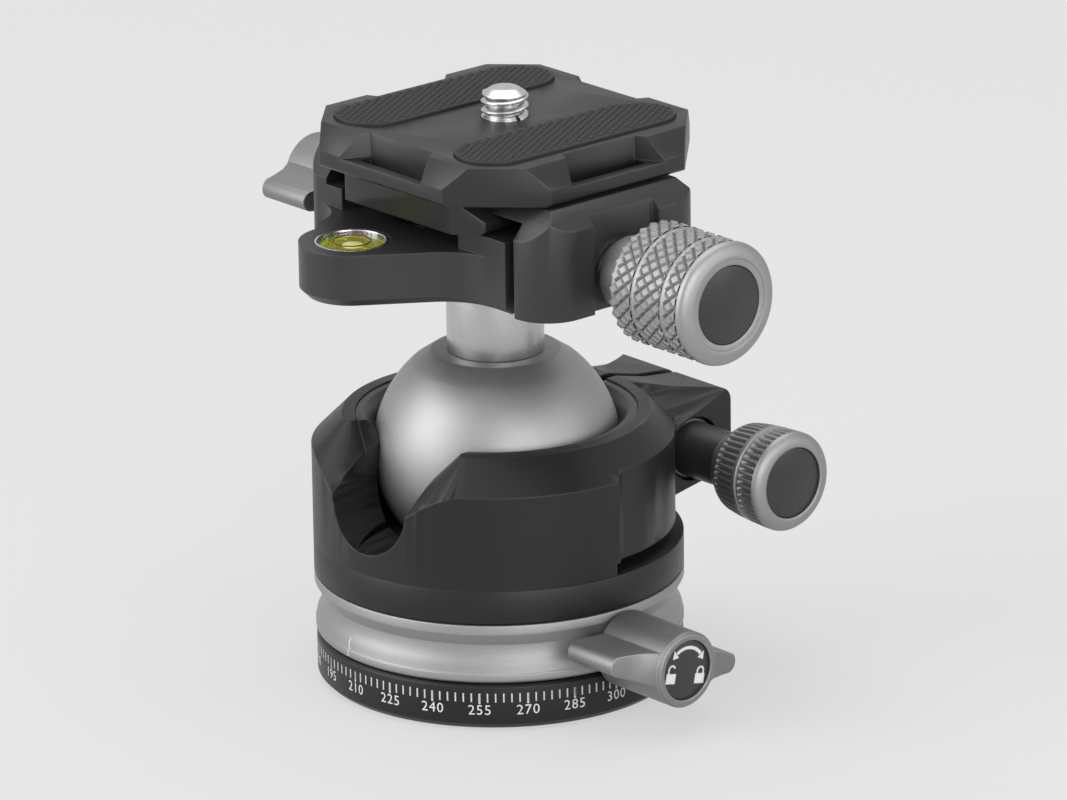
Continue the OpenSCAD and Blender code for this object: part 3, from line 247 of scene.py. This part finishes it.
# Faces shade smooth across soft corners only
soft_corner, sharp_corner, flat_join, weld_gap = radians(28), radians(32), radians(0.6), 0.000001
shape_in_and_out = [("Geometry", "NodeSocketGeometry", None)], [("Geometry", "NodeSocketGeometry")]
soft_corners, given, made = node_group("smooth_shading", *shape_in_and_out, kind="GeometryNodeTree")
smooth = add(soft_corners, "GeometryNodeSetShadeSmooth", {"Geometry": given[0]}, domain="FACE")
corner = add(soft_corners, "GeometryNodeInputMeshEdgeAngle").outputs["Unsigned Angle"]
steep = maths(soft_corners, "GREATER_THAN", corner, soft_corner)
sharp = add(soft_corners, "GeometryNodeSetShadeSmooth", {"Geometry": smooth.outputs[0], "Selection": steep,
    "Shade Smooth": False}, domain="EDGE")
give(soft_corners, made[0], sharp.outputs[0])


def dress(node, material, edge=0.00012, segments=2, flatten=True):
    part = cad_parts[node]
    part.data.materials.clear()
    part.data.materials.append(material)
    joined = part.modifiers.new("joined", "WELD")
    joined.merge_threshold = weld_gap
    if flatten:
        flat = part.modifiers.new("flat", "DECIMATE")
        flat.decimate_type = "DISSOLVE"
        flat.angle_limit = flat_join
    if edge:
        broken = part.modifiers.new("broken_edges", "BEVEL")
        broken.width = edge
        broken.segments = segments
        broken.limit_method = "ANGLE"
        broken.angle_limit = sharp_corner
    shading = part.modifiers.new("shading", "NODES")
    shading.node_group = soft_corners
    return part


def choose(*pieces):
    bpy.ops.object.select_all(action="DESELECT")
    for piece in pieces:
        piece.select_set(True)
    bpy.context.view_layer.objects.active = pieces[0]


def join(*pieces):
    choose(*pieces)
    bpy.ops.object.join()
    return pieces[0]


def settle(piece, name, material, body):
    choose(piece)
    bpy.ops.object.transform_apply()
    piece.name = name
    piece.data.name = name
    piece.data.materials.clear()
    piece.data.materials.append(material)
    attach(piece, body)


def edit(action="SELECT"):
    bpy.ops.object.mode_set(mode="EDIT")
    bpy.ops.mesh.select_all(action=action)


def leave():
    bpy.ops.object.mode_set(mode="OBJECT")


def spin_copies(count, centre, axis):
    whole_turn_less_one = 2 * pi * (count - 1) / count
    bpy.ops.mesh.spin(steps=count - 1, dupli=True, angle=whole_turn_less_one, center=centre, axis=axis)


black = 0.006
round_z = (0, 0, 0)
black_turned = finish("black_turned", black, 0.09, 0.0, 0.42, lines=0.5, grain=0.5, centre=round_z,
    edge_wear_and_highlight_amount=0.5, specular=0.38)
dress("scale_base", black_turned)

white_print = finish("white_print", 0.62, 0.7, 0.0, 0.6, lines=0.0, grain=0.35, grain_scale=6000.0,
    edge_wear_and_highlight_amount=0.0)
disc_r = 0.0248
marks_turn = -2.5
marks_top_z, ink = 0.0051, 0.00004
for name, count, width, low in (("short_marks", 144, 0.0002, 0.00385), ("long_marks", 24, 0.00028, 0.0036)):
    bpy.ops.mesh.primitive_cube_add(size=1, location=(disc_r, 0, (low + marks_top_z) / 2),
        scale=(ink, width, marks_top_z - low))
    marks = bpy.context.object
    bpy.ops.object.transform_apply()
    marks.rotation_euler.z = radians(marks_turn)
    bpy.ops.object.transform_apply()
    edit()
    spin_copies(count, (0, 0, 0), (0, 0, 1))
    leave()
    settle(marks, name, white_print, "base")
figure_size, figure_z, figure_r = 0.00196, 0.0027, disc_r + ink / 2
zero_turn = -302.5
figures = []
for mark in range(0, 360, 15):
    bpy.ops.object.text_add()
    text = bpy.context.object.data
    text.body = str(mark)
    text.size = figure_size
    text.align_x = "CENTER"
    text.align_y = "CENTER"
    text.space_character = 1.12
    text.resolution_u = 3
    bpy.ops.object.convert(target="MESH")
    figure = bpy.context.object
    for vertex in figure.data.vertices:
        a = radians(mark + zero_turn) + vertex.co.x / disc_r
        vertex.co = (figure_r * cos(a), figure_r * sin(a), figure_z + vertex.co.y)
    figures.append(figure)
settle(join(*figures), "scale_figures", white_print, "base")

# Tripod bush: a threaded steel insert pressed into the underside of the disc, with the 3/8 inch tripod
# thread cut in its bore. Its thread is modelled turn by turn.
steel_turned = finish("plain_steel", 0.42, 0.6, 1.0, 0.34, lines=0.3, centre=round_z, grain=0.15)
steel_lines = finish("bright_steel", 0.55, 0.75, 1.0, 0.26, lines=0.2, grain=0.12, along=(3000, 3000, 600))


def screw_thread(radius, depth, pitch, low, high, steps, x=0.0, y=0.0, inner=False):
    turns = int((high - low) / pitch) + 1
    root, crest = (radius, radius - depth) if inner else (radius - depth, radius)
    bpy.ops.mesh.primitive_circle_add(vertices=3, radius=pitch / 2)
    ridge = bpy.context.object
    edit()
    bpy.ops.mesh.delete(type="VERT")
    leave()
    root_half, crest_half = 0.44 * pitch, 0.07 * pitch
    profile = [(root, -root_half), (crest, -crest_half), (crest, crest_half), (root, root_half)]
    ridge.data.vertices.add(4)
    for vertex, (r, up) in zip(ridge.data.vertices, profile):
        vertex.co = (r, 0, low + up)
    ridge.data.edges.add(3)
    for i, side in enumerate(ridge.data.edges):
        side.vertices = (i, i + 1)
    winding = ridge.modifiers.new("winding", "SCREW")
    winding.angle = 2 * pi * turns
    winding.screw_offset = pitch * turns
    winding.steps = steps * turns
    winding.render_steps = steps * turns
    winding.use_smooth_shade = True
    bpy.ops.object.modifier_apply(modifier="winding")
    for cut_z, clear_below, clear_above in ((low, True, False), (high, False, True)):
        edit()
        bpy.ops.mesh.bisect(plane_co=(0, 0, cut_z), plane_no=(0, 0, 1), clear_inner=clear_below,
            clear_outer=clear_above)
    bpy.ops.mesh.select_all(action="SELECT")
    bpy.ops.transform.translate(value=(x, y, 0))
    leave()
    return ridge


bush_r, bush_cut, bush_pitch, bush_low, bush_high = 0.0047625, 0.0006, 0.0015875, 0.0003, 0.0094
dress("tripod_bush", steel_turned)
bush_thread = screw_thread(bush_r, bush_cut, bush_pitch, bush_low, bush_high, steps=48, inner=True)
settle(bush_thread, "bush_thread", steel_turned, "base")

# Panning hub: a slippery plastic washer lies in the disc, and a steel retainer with three countersunk
# screws keeps the collar down on it.
slip_plastic = finish("slip_plastic", (0.72, 0.69, 0.6), 0.8, 0.0, 0.45, lines=0.05, grain=0.15,
    grain_scale=900.0, edge_wear_and_highlight_amount=0.2)
dark_steel = finish("dark_steel", 0.09, 0.3, 1.0, 0.35, lines=0.15, grain=0.2, centre=round_z)
dress("pan_washer", slip_plastic)
dress("pan_retainer", steel_turned)
dress("retainer_screws", dark_steel)

# Pan collar: a turned aluminium ring, blasted and anodised in titanium grey, with a waist and a fine bright
# ridge under it. A thin index line is cut across its lower bands.
grey_blasted = finish("grey_blasted", 0.30, 0.62, 0.85, 0.52, lines=0.08, grain=0.4, grain_scale=5200.0,
    relief=0.00002, centre=round_z, edge_wear_and_highlight_amount=0.8, edge_width=0.00022)
dress("pan_collar", grey_blasted, edge=0.0002)
dress("collar_screws", dark_steel)
line_white = finish("line_white", 0.7, 0.8, 0.0, 0.5, lines=0.0, grain=0.2, edge_wear_and_highlight_amount=0.0)
line_half_width = 0.00009
line_turn = -95.7
line_rows = ((0.02492, 0.00695), (0.02492, 0.00778), (0.02472, 0.00781), (0.02472, 0.00869),
    (0.02442, 0.00939))
bpy.ops.mesh.primitive_grid_add(x_subdivisions=1, y_subdivisions=len(line_rows) - 1)
line = bpy.context.object
for i, vertex in enumerate(line.data.vertices):
    r, z = line_rows[i // 2]
    vertex.co = (r, line_half_width if i % 2 else -line_half_width, z)
line.rotation_euler.z = radians(line_turn)
settle(line, "index_line", line_white, "housing")

# Pan lock: a brass pad pressed on the hub's groove by a screw, turned by a two-winged lever with a black
# insert in its end. The insert's locks and arrows are printed in white.
brass = finish("brass", (0.62, 0.42, 0.13), 0.7, 1.0, 0.3, lines=0.2, grain=0.15)
round_x = (0, pi / 2, 0)
pan_axis_z = 0.0094
pan_lever_turn = radians(-12.6)
dress("brake_pad", brass)
dress("pan_lock_screw", steel_turned)
grey_lever = finish("grey_lever", 0.22, 0.55, 0.85, 0.5, lines=0.05, grain=0.4, grain_scale=5200.0,
    relief=0.00002, edge_width=0.0003, edge_wear_and_highlight_amount=0.8)
lever_edge = 0.0004
dress("pan_lever", grey_lever, edge=lever_edge, segments=3)
dress("pan_lever_screw", dark_steel)
insert_black = finish("insert_black", 0.02, 0.05, 0.0, 0.3, lines=0.05, grain=0.1, centre=(0, 0, pan_axis_z),
    turn=round_x, edge_wear_and_highlight_amount=0.4)
dress("pan_lever_cap", insert_black)


def outward():
    bpy.ops.mesh.select_all(action="SELECT")
    bpy.ops.mesh.normals_make_consistent(inside=False)


print_rise = 0.00003


def flat_print(outline):
    bpy.ops.mesh.primitive_circle_add(vertices=len(outline), radius=0.001, fill_type="NGON")
    mark = bpy.context.object
    for vertex, (y, z) in zip(mark.data.vertices, outline):
        vertex.co = (0, y, z)
    edit()
    bpy.ops.mesh.extrude_region_move(TRANSFORM_OT_translate={"value": (print_rise, 0, 0)})
    outward()
    leave()
    return mark


def on_arc(r, degrees, y=0.0, z=0.0, side=1):
    return y + side * r * cos(radians(degrees)), z + r * sin(radians(degrees))


def lock_marks(face, height, turn_by=0, mirrored=False):
    sweep = range(44, 137, 4)
    shaft_outer, shaft_inner, arrow_head = 0.0033, 0.00283, ((0.00375, 45), (0.0024, 45), (0.00307, 27))
    outer, inner, body_half, body_y = 0.00067, 0.0004, 0.00085, 0.0026
    body_low, body_top = -0.0019, -0.0005
    shapes = [[on_arc(shaft_outer, a) for a in reversed(sweep)] + [on_arc(shaft_inner, a) for a in sweep]]
    for side, bow_end, bow_z in ((-1, 160, 0.00005), (1, 180, -0.00015)):
        shapes.append([on_arc(r, a, side=side) for r, a in arrow_head])
        y = side * body_y
        left, right = y - body_half, y + body_half
        shapes.append([(left, body_low), (right, body_low), (right, body_top), (left, body_top)])
        bend = range(0, bow_end + 1, 20)
        bow = [(y + side * outer, body_top)] + [on_arc(outer, a, y, bow_z, side) for a in bend]
        if bow_end == 180:
            bow += [(y - outer, body_top), (y - inner, body_top)]
        bow += [on_arc(inner, a, y, bow_z, side) for a in reversed(bend)] + [(y + side * inner, body_top)]
        shapes.append(bow)
    if mirrored:
        shapes = [[(-y, z) for y, z in shape] for shape in shapes]
    marks = join(*[flat_print(shape) for shape in shapes])
    marks.rotation_euler = (turn_by, 0, pi if mirrored else 0)
    marks.location = (face, 0, height)
    return marks


settle(lock_marks(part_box("pan_lever_cap")[1].x, pan_axis_z, pan_lever_turn), "pan_lock_marks", white_print,
    "pan_lock")

# Lower housing: a black anodised ring that closes the ball housing from below. It holds the wave spring and
# the black plastic seat that push the ball up.
dress("lower_housing", black_turned)
dress("seat_spring", steel_turned)
dress("lower_seat", finish("black_plastic", 0.015, 0.06, 0.0, 0.45, lines=0.05, grain=0.15,
    grain_scale=900.0, edge_wear_and_highlight_amount=0.2))
dress("housing_screws", dark_steel)

# Ball housing: milled and turned from one black anodised block, with the drop notch at the front, the slit
# under its side and the two ears that the main lock pulls together. Cutter lines run round it.
black_housing = finish("black_housing", black, 0.09, 0.0, 0.42, specular=0.38, lines=0.4, grain=0.25,
    centre=round_z, edge_width=0.0003, edge_wear_and_highlight_amount=0.6)
dress("ball_housing", black_housing, edge=0.00025)
dress("upper_seat_ring", finish("seat_ring_black", 0.012, 0.09, 0.0, 0.36, lines=0.35, centre=round_z),
    edge=0.0002)
dress("lock_insert", brass)

# Main lock: a steel screw through both ears, a black neck and a fluted titanium grey knob that draws it
# tight. A smooth black insert closes the knob's face.
lock_y, lock_z = 0.0264, 0.0273
lock_at = (0, lock_y, lock_z)
dress("lock_screw", steel_lines)
dress("lock_washer", dark_steel)
dress("knob_neck", finish("black_neck", 0.03, 0.12, 0.0, 0.45, lines=0.3, centre=lock_at, turn=round_x))
grey_knob = finish("grey_knob", 0.29, 0.62, 0.85, 0.5, lines=0.1, grain=0.4, grain_scale=5200.0,
    relief=0.00002, centre=lock_at, turn=round_x, edge_wear_and_highlight_amount=0.7)
# Each row is a distance along the axis and a radius, in millimetres
knob_rows = [(18.1, 4.2), (18.5, 4.3), (19.2, 4.9), (20.0, 5.55), (20.6, 5.95), (21.0, 6.15), (21.4, 6.28),
    (23.0, 6.52), (24.5, 6.64), (24.9, 6.66), (25.2, 6.7), (25.55, 6.74), (25.7, 6.5), (25.9, 6.5),
    (26.0, 6.74), (26.2, 6.75), (26.6, 6.78), (28.0, 6.84), (28.6, 6.86), (29.0, 6.86), (29.25, 6.8),
    (29.55, 6.6), (29.8, 6.3), (29.98, 5.9), (30.08, 5.5), (30.1, 5.1), (30.02, 4.92), (29.0, 4.9)]


def turned(rows, y, z, segments):
    rows = [(x / 1000, r / 1000) for x, r in rows]
    bpy.ops.mesh.primitive_circle_add(vertices=segments, radius=rows[0][1], fill_type="NGON",
        location=(rows[0][0], y, z), rotation=(0, pi / 2, 0))
    piece = bpy.context.object
    bpy.ops.object.transform_apply()
    edit()
    bpy.ops.mesh.select_mode(type="FACE")
    for (x0, r0), (x1, r1) in zip(rows, rows[1:]):
        bpy.ops.mesh.extrude_region_move(TRANSFORM_OT_translate={"value": (x1 - x0, 0, 0)})
        bpy.ops.transform.resize(value=(1, r1 / r0, r1 / r0), center_override=(x1, y, z))
    outward()
    bpy.ops.mesh.select_mode(type="VERT")
    leave()
    return piece


def edit_points(piece, chosen):
    edit("DESELECT")
    leave()
    for vertex in piece.data.vertices:
        vertex.select = vertex.index in chosen
    bpy.ops.object.mode_set(mode="EDIT")


flutes, columns_each = 46, 6
flute_bands = (21.3, 24.6), (26.5, 28.7)
grip_r, grip_smooth = 0.0066, radians(24)
grip = turned(knob_rows, lock_y, lock_z, columns_each * flutes)
for depth, columns in ((0.0004, (2, 4)), (0.0006, (3,))):
    chosen = set()
    for vertex in grip.data.vertices:
        x = vertex.co.x * 1000
        turn = atan2(vertex.co.y - lock_y, vertex.co.z - lock_z) / (2 * pi)
        column = round(turn * columns_each * flutes) % columns_each
        if column in columns and any(low < x < high for low, high in flute_bands):
            chosen.add(vertex.index)
    edit_points(grip, chosen)
    shrink = 1 - depth / grip_r
    bpy.ops.transform.resize(value=(1, shrink, shrink), center_override=lock_at)
    leave()
bpy.ops.object.shade_smooth_by_angle(angle=grip_smooth)
settle(grip, "fluted_knob", grey_knob, "main_lock")
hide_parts("main_knob")
dress("main_knob_screw", dark_steel)
dress("main_knob_cap", finish("knob_insert", 0.02, 0.05, 0.0, 0.28, lines=0.2, grain=0.05, centre=lock_at,
    turn=round_x, fineness=4000.0, edge_wear_and_highlight_amount=0.4))

# Ball and stem: the ball is turned aluminium with a satin anodised face, and the stem is a bright steel post
# pinned into its top cone. Two countersunk screws hold the clamp on the stem.
ball_centre = (0, 0, 0.0312)
dress("ball", finish("satin_ball", 0.34, 0.5, 0.9, 0.52, lines=0.05, grain=0.3, grain_scale=7000.0,
    relief=0.000008, centre=ball_centre, edge_width=0.00015), edge=0.0001)
dress("stem", finish("stem_silver", 0.50, 0.8, 1.0, 0.33, lines=0.25, grain=0.15, centre=round_z,
    fineness=12000.0, edge_width=0.0002), edge=0.0002)
dress("stem_screws", dark_steel)

# Clamp base: a black anodised block with the dovetail hook at its back and a lobe that carries the level.
# The guide pins of the jaw show in two slots of its floor.
black_clamp = finish("black_clamp", 0.022, 0.12, 0.0, 0.4, specular=0.42, lines=0.35, grain=0.25,
    along=(7000, 7000, 300), edge_width=0.00025, edge_wear_and_highlight_amount=0.6)
clamp = dress("clamp_base", black_clamp, edge=0, flatten=False)
# The solid has a thin sliver at each end of the lobe's chamfer, and the seen piece has both pressed back
chamfer_top_z = 0.0585
pressed, given, made = node_group("press_slivers_back", *shape_in_and_out, kind="GeometryNodeTree")
point = add(pressed, "GeometryNodeInputPosition").outputs[0]
x, y, z = add(pressed, "ShaderNodeSeparateXYZ", {0: point}).outputs
near = 0.0
for sliver_x, sliver_y, reach in ((0.00294, -0.02624, 0.0001), (-0.0113, -0.02125, 0.00045)):
    away = [maths(pressed, "ABSOLUTE", maths(pressed, "SUBTRACT", *pair))
            for pair in ((x, sliver_x), (y, sliver_y))]
    hit = maths(pressed, "LESS_THAN", maths(pressed, "MAXIMUM", *away), reach)
    near = maths(pressed, "MAXIMUM", near, hit)
raised = add(pressed, "ShaderNodeCombineXYZ", {0: x, 1: y, 2: maths(pressed, "MAXIMUM", z, chamfer_top_z)})
moved = add(pressed, "GeometryNodeSetPosition", {"Geometry": given[0], "Selection": near,
    "Position": raised.outputs[0]})
give(pressed, made[0], moved.outputs[0])
press = clamp.modifiers.new("press_slivers_back", "NODES")
press.node_group = pressed
clamp.modifiers.move(len(clamp.modifiers) - 1, 1)
dress("guide_pins", steel_lines)

# Level: a bullseye vial in a bright cup, with yellow-green liquid, a bubble, and a red ring under a clear
# lens. The cup is pressed into the lobe.
level_x, level_y = -0.0029, -0.0222
ring_r, ring_line_r = 0.0025, 0.0001
bubble_r, bubble_x, bubble_y = 0.0015, level_x - 0.0003, level_y + 0.0004
lens_low, lens_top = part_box("level_lens")
dress("level_cup", steel_lines)
liquid_with_painted_glow = finish("level_liquid", (0.42, 0.46, 0.02), 0.8, 0.0, 0.25, lines=0.0, grain=0.1, edge_wear_and_highlight_amount=0.0)
# Painted glow: the liquid emits a little light of its own, so that it stays bright under the lens
shader = liquid_with_painted_glow.node_tree.nodes["Principled BSDF"].inputs
shader["Emission Color"].default_value = (0.42, 0.46, 0.015, 1)
shader["Emission Strength"].default_value = 0.2
dress("level_liquid", liquid_with_painted_glow, edge=0)
clear = bpy.data.materials.new("clear_lens")
clear.use_nodes = True
shader = clear.node_tree.nodes["Principled BSDF"].inputs
shader["Base Color"].default_value = (0.3, 0.36, 0.02, 1)
shader["Roughness"].default_value = 0.06
shader["IOR"].default_value = 1.49
shader["Alpha"].default_value = 0.1
dress("level_lens", clear, edge=0.0001)
red_print = finish("red_print", (0.22, 0.012, 0.01), 0.3, 0.0, 0.5, lines=0.0, grain=0.2, edge_wear_and_highlight_amount=0.0)
bpy.ops.mesh.primitive_torus_add(major_radius=ring_r, minor_radius=ring_line_r, major_segments=64,
    minor_segments=8, location=(level_x, level_y, lens_top.z))
settle(bpy.context.object, "level_ring", red_print, "clamp")
bpy.ops.mesh.primitive_uv_sphere_add(segments=32, ring_count=16, radius=bubble_r,
    location=(bubble_x, bubble_y, lens_low.z), scale=(1, 1, 0.2))
bpy.ops.object.shade_smooth()
settle(bpy.context.object, "level_bubble", finish("bubble_air", (0.85, 0.9, 0.35), 0.9, 0.0, 0.08, lines=0.0,
    grain=0.05, edge_wear_and_highlight_amount=0.0), "clamp")

# Clamp lever: a fixed black bush, and a titanium grey lever whose cross pin pulls the draw rod back through
# the clamp. Its end carries the same black insert with locks and arrows as the pan lever.
rod_z = 0.0621
rod_at = (0, 0, rod_z)
dress("cam_bush", finish("black_bush", 0.012, 0.09, 0.0, 0.4, lines=0.3, centre=rod_at, turn=round_x))
dress("clamp_lever", grey_lever, edge=lever_edge, segments=3)
dress("cross_pin", dark_steel)
dress("clamp_lever_cap", insert_black)
settle(lock_marks(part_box("clamp_lever_cap")[0].x, rod_z, mirrored=True), "clamp_lock_marks", white_print,
    "clamp_lever")
dress("draw_rod", steel_lines)

# Jaw: the sliding half of the clamp, milled from the same black anodised bar. The draw rod passes through
# it, and a steel washer lies between it and the knob.
dress("clamp_jaw", black_clamp, edge=0.00025)
dress("jaw_washer", steel_lines)

# Clamp knob: a titanium grey barrel with a brass nut pressed in. Its grip is a coarse diamond knurl in
# three bands, cut as crossed grooves between flat-topped studs, and its face is a bright turned rim.
grey_clamp_knob = finish("grey_clamp_knob", 0.31, 0.66, 0.85, 0.48, lines=0.1, grain=0.35,
    grain_scale=5200.0, relief=0.00002, centre=rod_at, turn=round_x, edge_wear_and_highlight_amount=0.0, edge_width=0.0)
barrel_rows = [(26.3, 4.3), (26.5, 4.75), (26.9, 5.0), (28.0, 5.15), (30.0, 5.15), (31.2, 5.0), (31.5, 5.1),
    (31.7, 6.6), (31.85, 7.3), (32.1, 7.7), (36.05, 7.78), (36.2, 8.1), (36.35, 8.16), (36.75, 8.16),
    (36.9, 8.1), (37.05, 7.78), (41.65, 7.78), (41.8, 8.1), (41.95, 8.16), (42.35, 8.16), (42.5, 8.1),
    (42.65, 7.78), (44.7, 7.78), (44.85, 8.1), (45.1, 8.28), (45.4, 8.3), (45.7, 8.22), (46.0, 8.0),
    (46.25, 7.65), (46.43, 7.2), (46.55, 6.75), (46.6, 6.4), (46.55, 6.2), (46.42, 6.1), (46.42, 5.5),
    (46.36, 5.36), (46.2, 5.3), (45.6, 5.3)]


def grow_up(steps):
    for up, share in steps:
        bpy.ops.mesh.extrude_region_move(TRANSFORM_OT_translate={"value": (0, 0, up)})
        bpy.ops.transform.resize(value=(share, share, 1))


barrel = turned(barrel_rows, 0, rod_z, segments=96)
studs_round, stud_pitch = 28, 0.0021
stud_root_r, stud_mean_r, stud_rise, stud_top_share = 0.00776, 0.0080, 0.0005, 0.6
bands = []
for low, high in ((0.0319, 0.0362), (0.0369, 0.0418), (0.0425, 0.0448)):
    studs = []
    row = 0 if bands else 1
    while low + (row - 1) * stud_pitch / 2 < high + stud_pitch / 2:
        bpy.ops.mesh.primitive_circle_add(vertices=4, radius=1, fill_type="NGON",
            location=(low + row * stud_pitch / 2, 0, rod_z + stud_root_r))
        stud = bpy.context.object
        stud.scale = (0.5 * stud_pitch, 0.5 * 2 * pi * stud_mean_r / studs_round, 1)
        bpy.ops.object.transform_apply()
        edit()
        grow_up([(stud_rise, stud_top_share)])
        outward()
        if row % 2:
            bpy.ops.transform.rotate(value=pi / studs_round, orient_axis="X", center_override=rod_at)
        spin_copies(studs_round, rod_at, (1, 0, 0))
        leave()
        studs.append(stud)
        row += 1
    band = join(*studs)
    for cut_x, clear_below, clear_above in ((low, True, False), (high, False, True)):
        edit()
        if bands or clear_above:
            bpy.ops.mesh.bisect(plane_co=(cut_x, 0, 0), plane_no=(1, 0, 0), clear_inner=clear_below,
                clear_outer=clear_above)
    leave()
    bands.append(band)
join(barrel, *bands)
bpy.ops.object.shade_smooth_by_angle(angle=grip_smooth)
settle(barrel, "knurled_knob", grey_clamp_knob, "clamp_knob")
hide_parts("clamp_knob")
dress("knob_nut", brass)
dress("clamp_knob_cap", finish("clamp_insert", 0.02, 0.05, 0.0, 0.28, lines=0.2, grain=0.05, centre=rod_at,
    turn=round_x, fineness=4000.0, edge_wear_and_highlight_amount=0.4))

# Release plate: a black anodised plate with a bevelled rim, four strap windows and a dovetail below, and two
# rubber pads set in its top.
black_plate = finish("black_plate", 0.008, 0.1, 0.0, 0.40, specular=0.5, lines=0.15, grain=0.35,
    grain_scale=5000.0, along=(500, 500, 5000), edge_width=0.0002, edge_wear_and_highlight_amount=0.6)
dress("release_plate", black_plate, edge=0.00018)
pad_rubber = finish("pad_rubber", 0.022, 0.07, 0.0, 0.55, lines=0.0, grain=0.3, grain_scale=6000.0,
    edge_wear_and_highlight_amount=0.0, edge_width=0.0, specular=0.25)
dress("front_pad", pad_rubber)
dress("rear_pad", pad_rubber)
bump_pitch = 0.00105
bump_row = 0.866 * bump_pitch
bump_r, bump_sink, bump_steps = 0.52 * bump_pitch, 0.00002, [(0.00014, 0.8), (0.00008, 0.5)]
pad_border = 0.00045
for pad in ("front_pad", "rear_pad"):
    low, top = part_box(pad)
    half = (top.x - low.x) / 2
    half_long = (top.y - low.y) / 2
    middle_x, middle_y = (low.x + top.x) / 2, (low.y + top.y) / 2
    across = int(2 * half / bump_pitch) + 1
    along = int(2 * half_long / bump_row) + 1
    bpy.ops.mesh.primitive_circle_add(vertices=6, radius=bump_r, fill_type="NGON",
        location=(low.x, low.y, top.z - bump_sink))
    bumps = bpy.context.object
    bpy.ops.object.transform_apply()
    edit()
    grow_up(bump_steps)
    outward()
    leave()
    each = len(bumps.data.vertices)
    for count, step in ((across, (bump_pitch, 0, 0)), (2, (bump_pitch / 2, bump_row, 0)),
                        ((along + 1) // 2, (0, 2 * bump_row, 0))):
        copies = bumps.modifiers.new("copies", "ARRAY")
        copies.use_relative_offset = False
        copies.use_constant_offset = True
        copies.constant_offset_displace = step
        copies.count = count
        bpy.ops.object.modifier_apply(modifier="copies")
    outside = set()
    points = bumps.data.vertices
    for first in range(0, len(points), each):
        island = points[first:first + each]
        x = sum(point.co.x for point in island) / each - middle_x
        y = sum(point.co.y for point in island) / each - middle_y
        beyond = max(abs(y) - half_long + half, 0)
        if x * x + beyond * beyond > (half - pad_border) ** 2:
            outside.update(range(first, first + each))
    edit_points(bumps, outside)
    bpy.ops.mesh.delete(type="VERT")
    leave()
    settle(bumps, pad + "_bumps", pad_rubber, "plate")

# Camera screw: a bright steel 1/4 inch screw, held in the plate by a spring clip so that it turns freely.
# Its shank is the solid's own up to the plate's top, and the thread and the rounded tip stand on it.
screw_x, screw_y, plate_top_z = 0.0013, 0.00115, 0.0778
screw_r, screw_cut, screw_pitch, thread_long = 0.003175, 0.00068, 0.00127, 0.0031
core_r, core_low_z, shank_top_z = 0.00255, plate_top_z - 0.0002, plate_top_z - 0.0001
screw_smooth = radians(30)
tip_steps = [(0.00005, 1.16), (0.0002, 1.0), (0.0006, 0.72), (0.00018, 0.86), (0.00006, 0.7)]
cad_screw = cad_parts["camera_screw"]
shank = cad_screw.copy()
shank.data = cad_screw.data.copy()
scene.collection.objects.link(shank)
shank.parent = None
shank.matrix_world = cad_screw.matrix_world
choose(shank)
edit()
bpy.ops.mesh.remove_doubles(threshold=weld_gap)
bpy.ops.mesh.bisect(plane_co=(0, 0, shank_top_z), plane_no=(0, 0, 1), use_fill=True, clear_outer=True)
leave()
bpy.ops.mesh.primitive_circle_add(vertices=64, radius=core_r, fill_type="NGON",
    location=(screw_x, screw_y, core_low_z))
core = bpy.context.object
bpy.ops.object.transform_apply()
edit()
bpy.ops.mesh.select_mode(type="FACE")
grow_up([(thread_long, 1.0)] + tip_steps)
outward()
bpy.ops.mesh.select_mode(type="VERT")
leave()
thread = screw_thread(screw_r, screw_cut, screw_pitch, plate_top_z, plate_top_z + thread_long, steps=64,
    x=screw_x, y=screw_y)
join(shank, core, thread)
bpy.ops.object.shade_smooth_by_angle(angle=screw_smooth)
settle(shank, "threaded_screw", finish("screw_steel", 0.6, 0.8, 1.0, 0.3, lines=0.1, grain=0.12,
    edge_wear_and_highlight_amount=0.3), "camera_screw")
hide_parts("camera_screw")
dress("screw_clip", dark_steel)
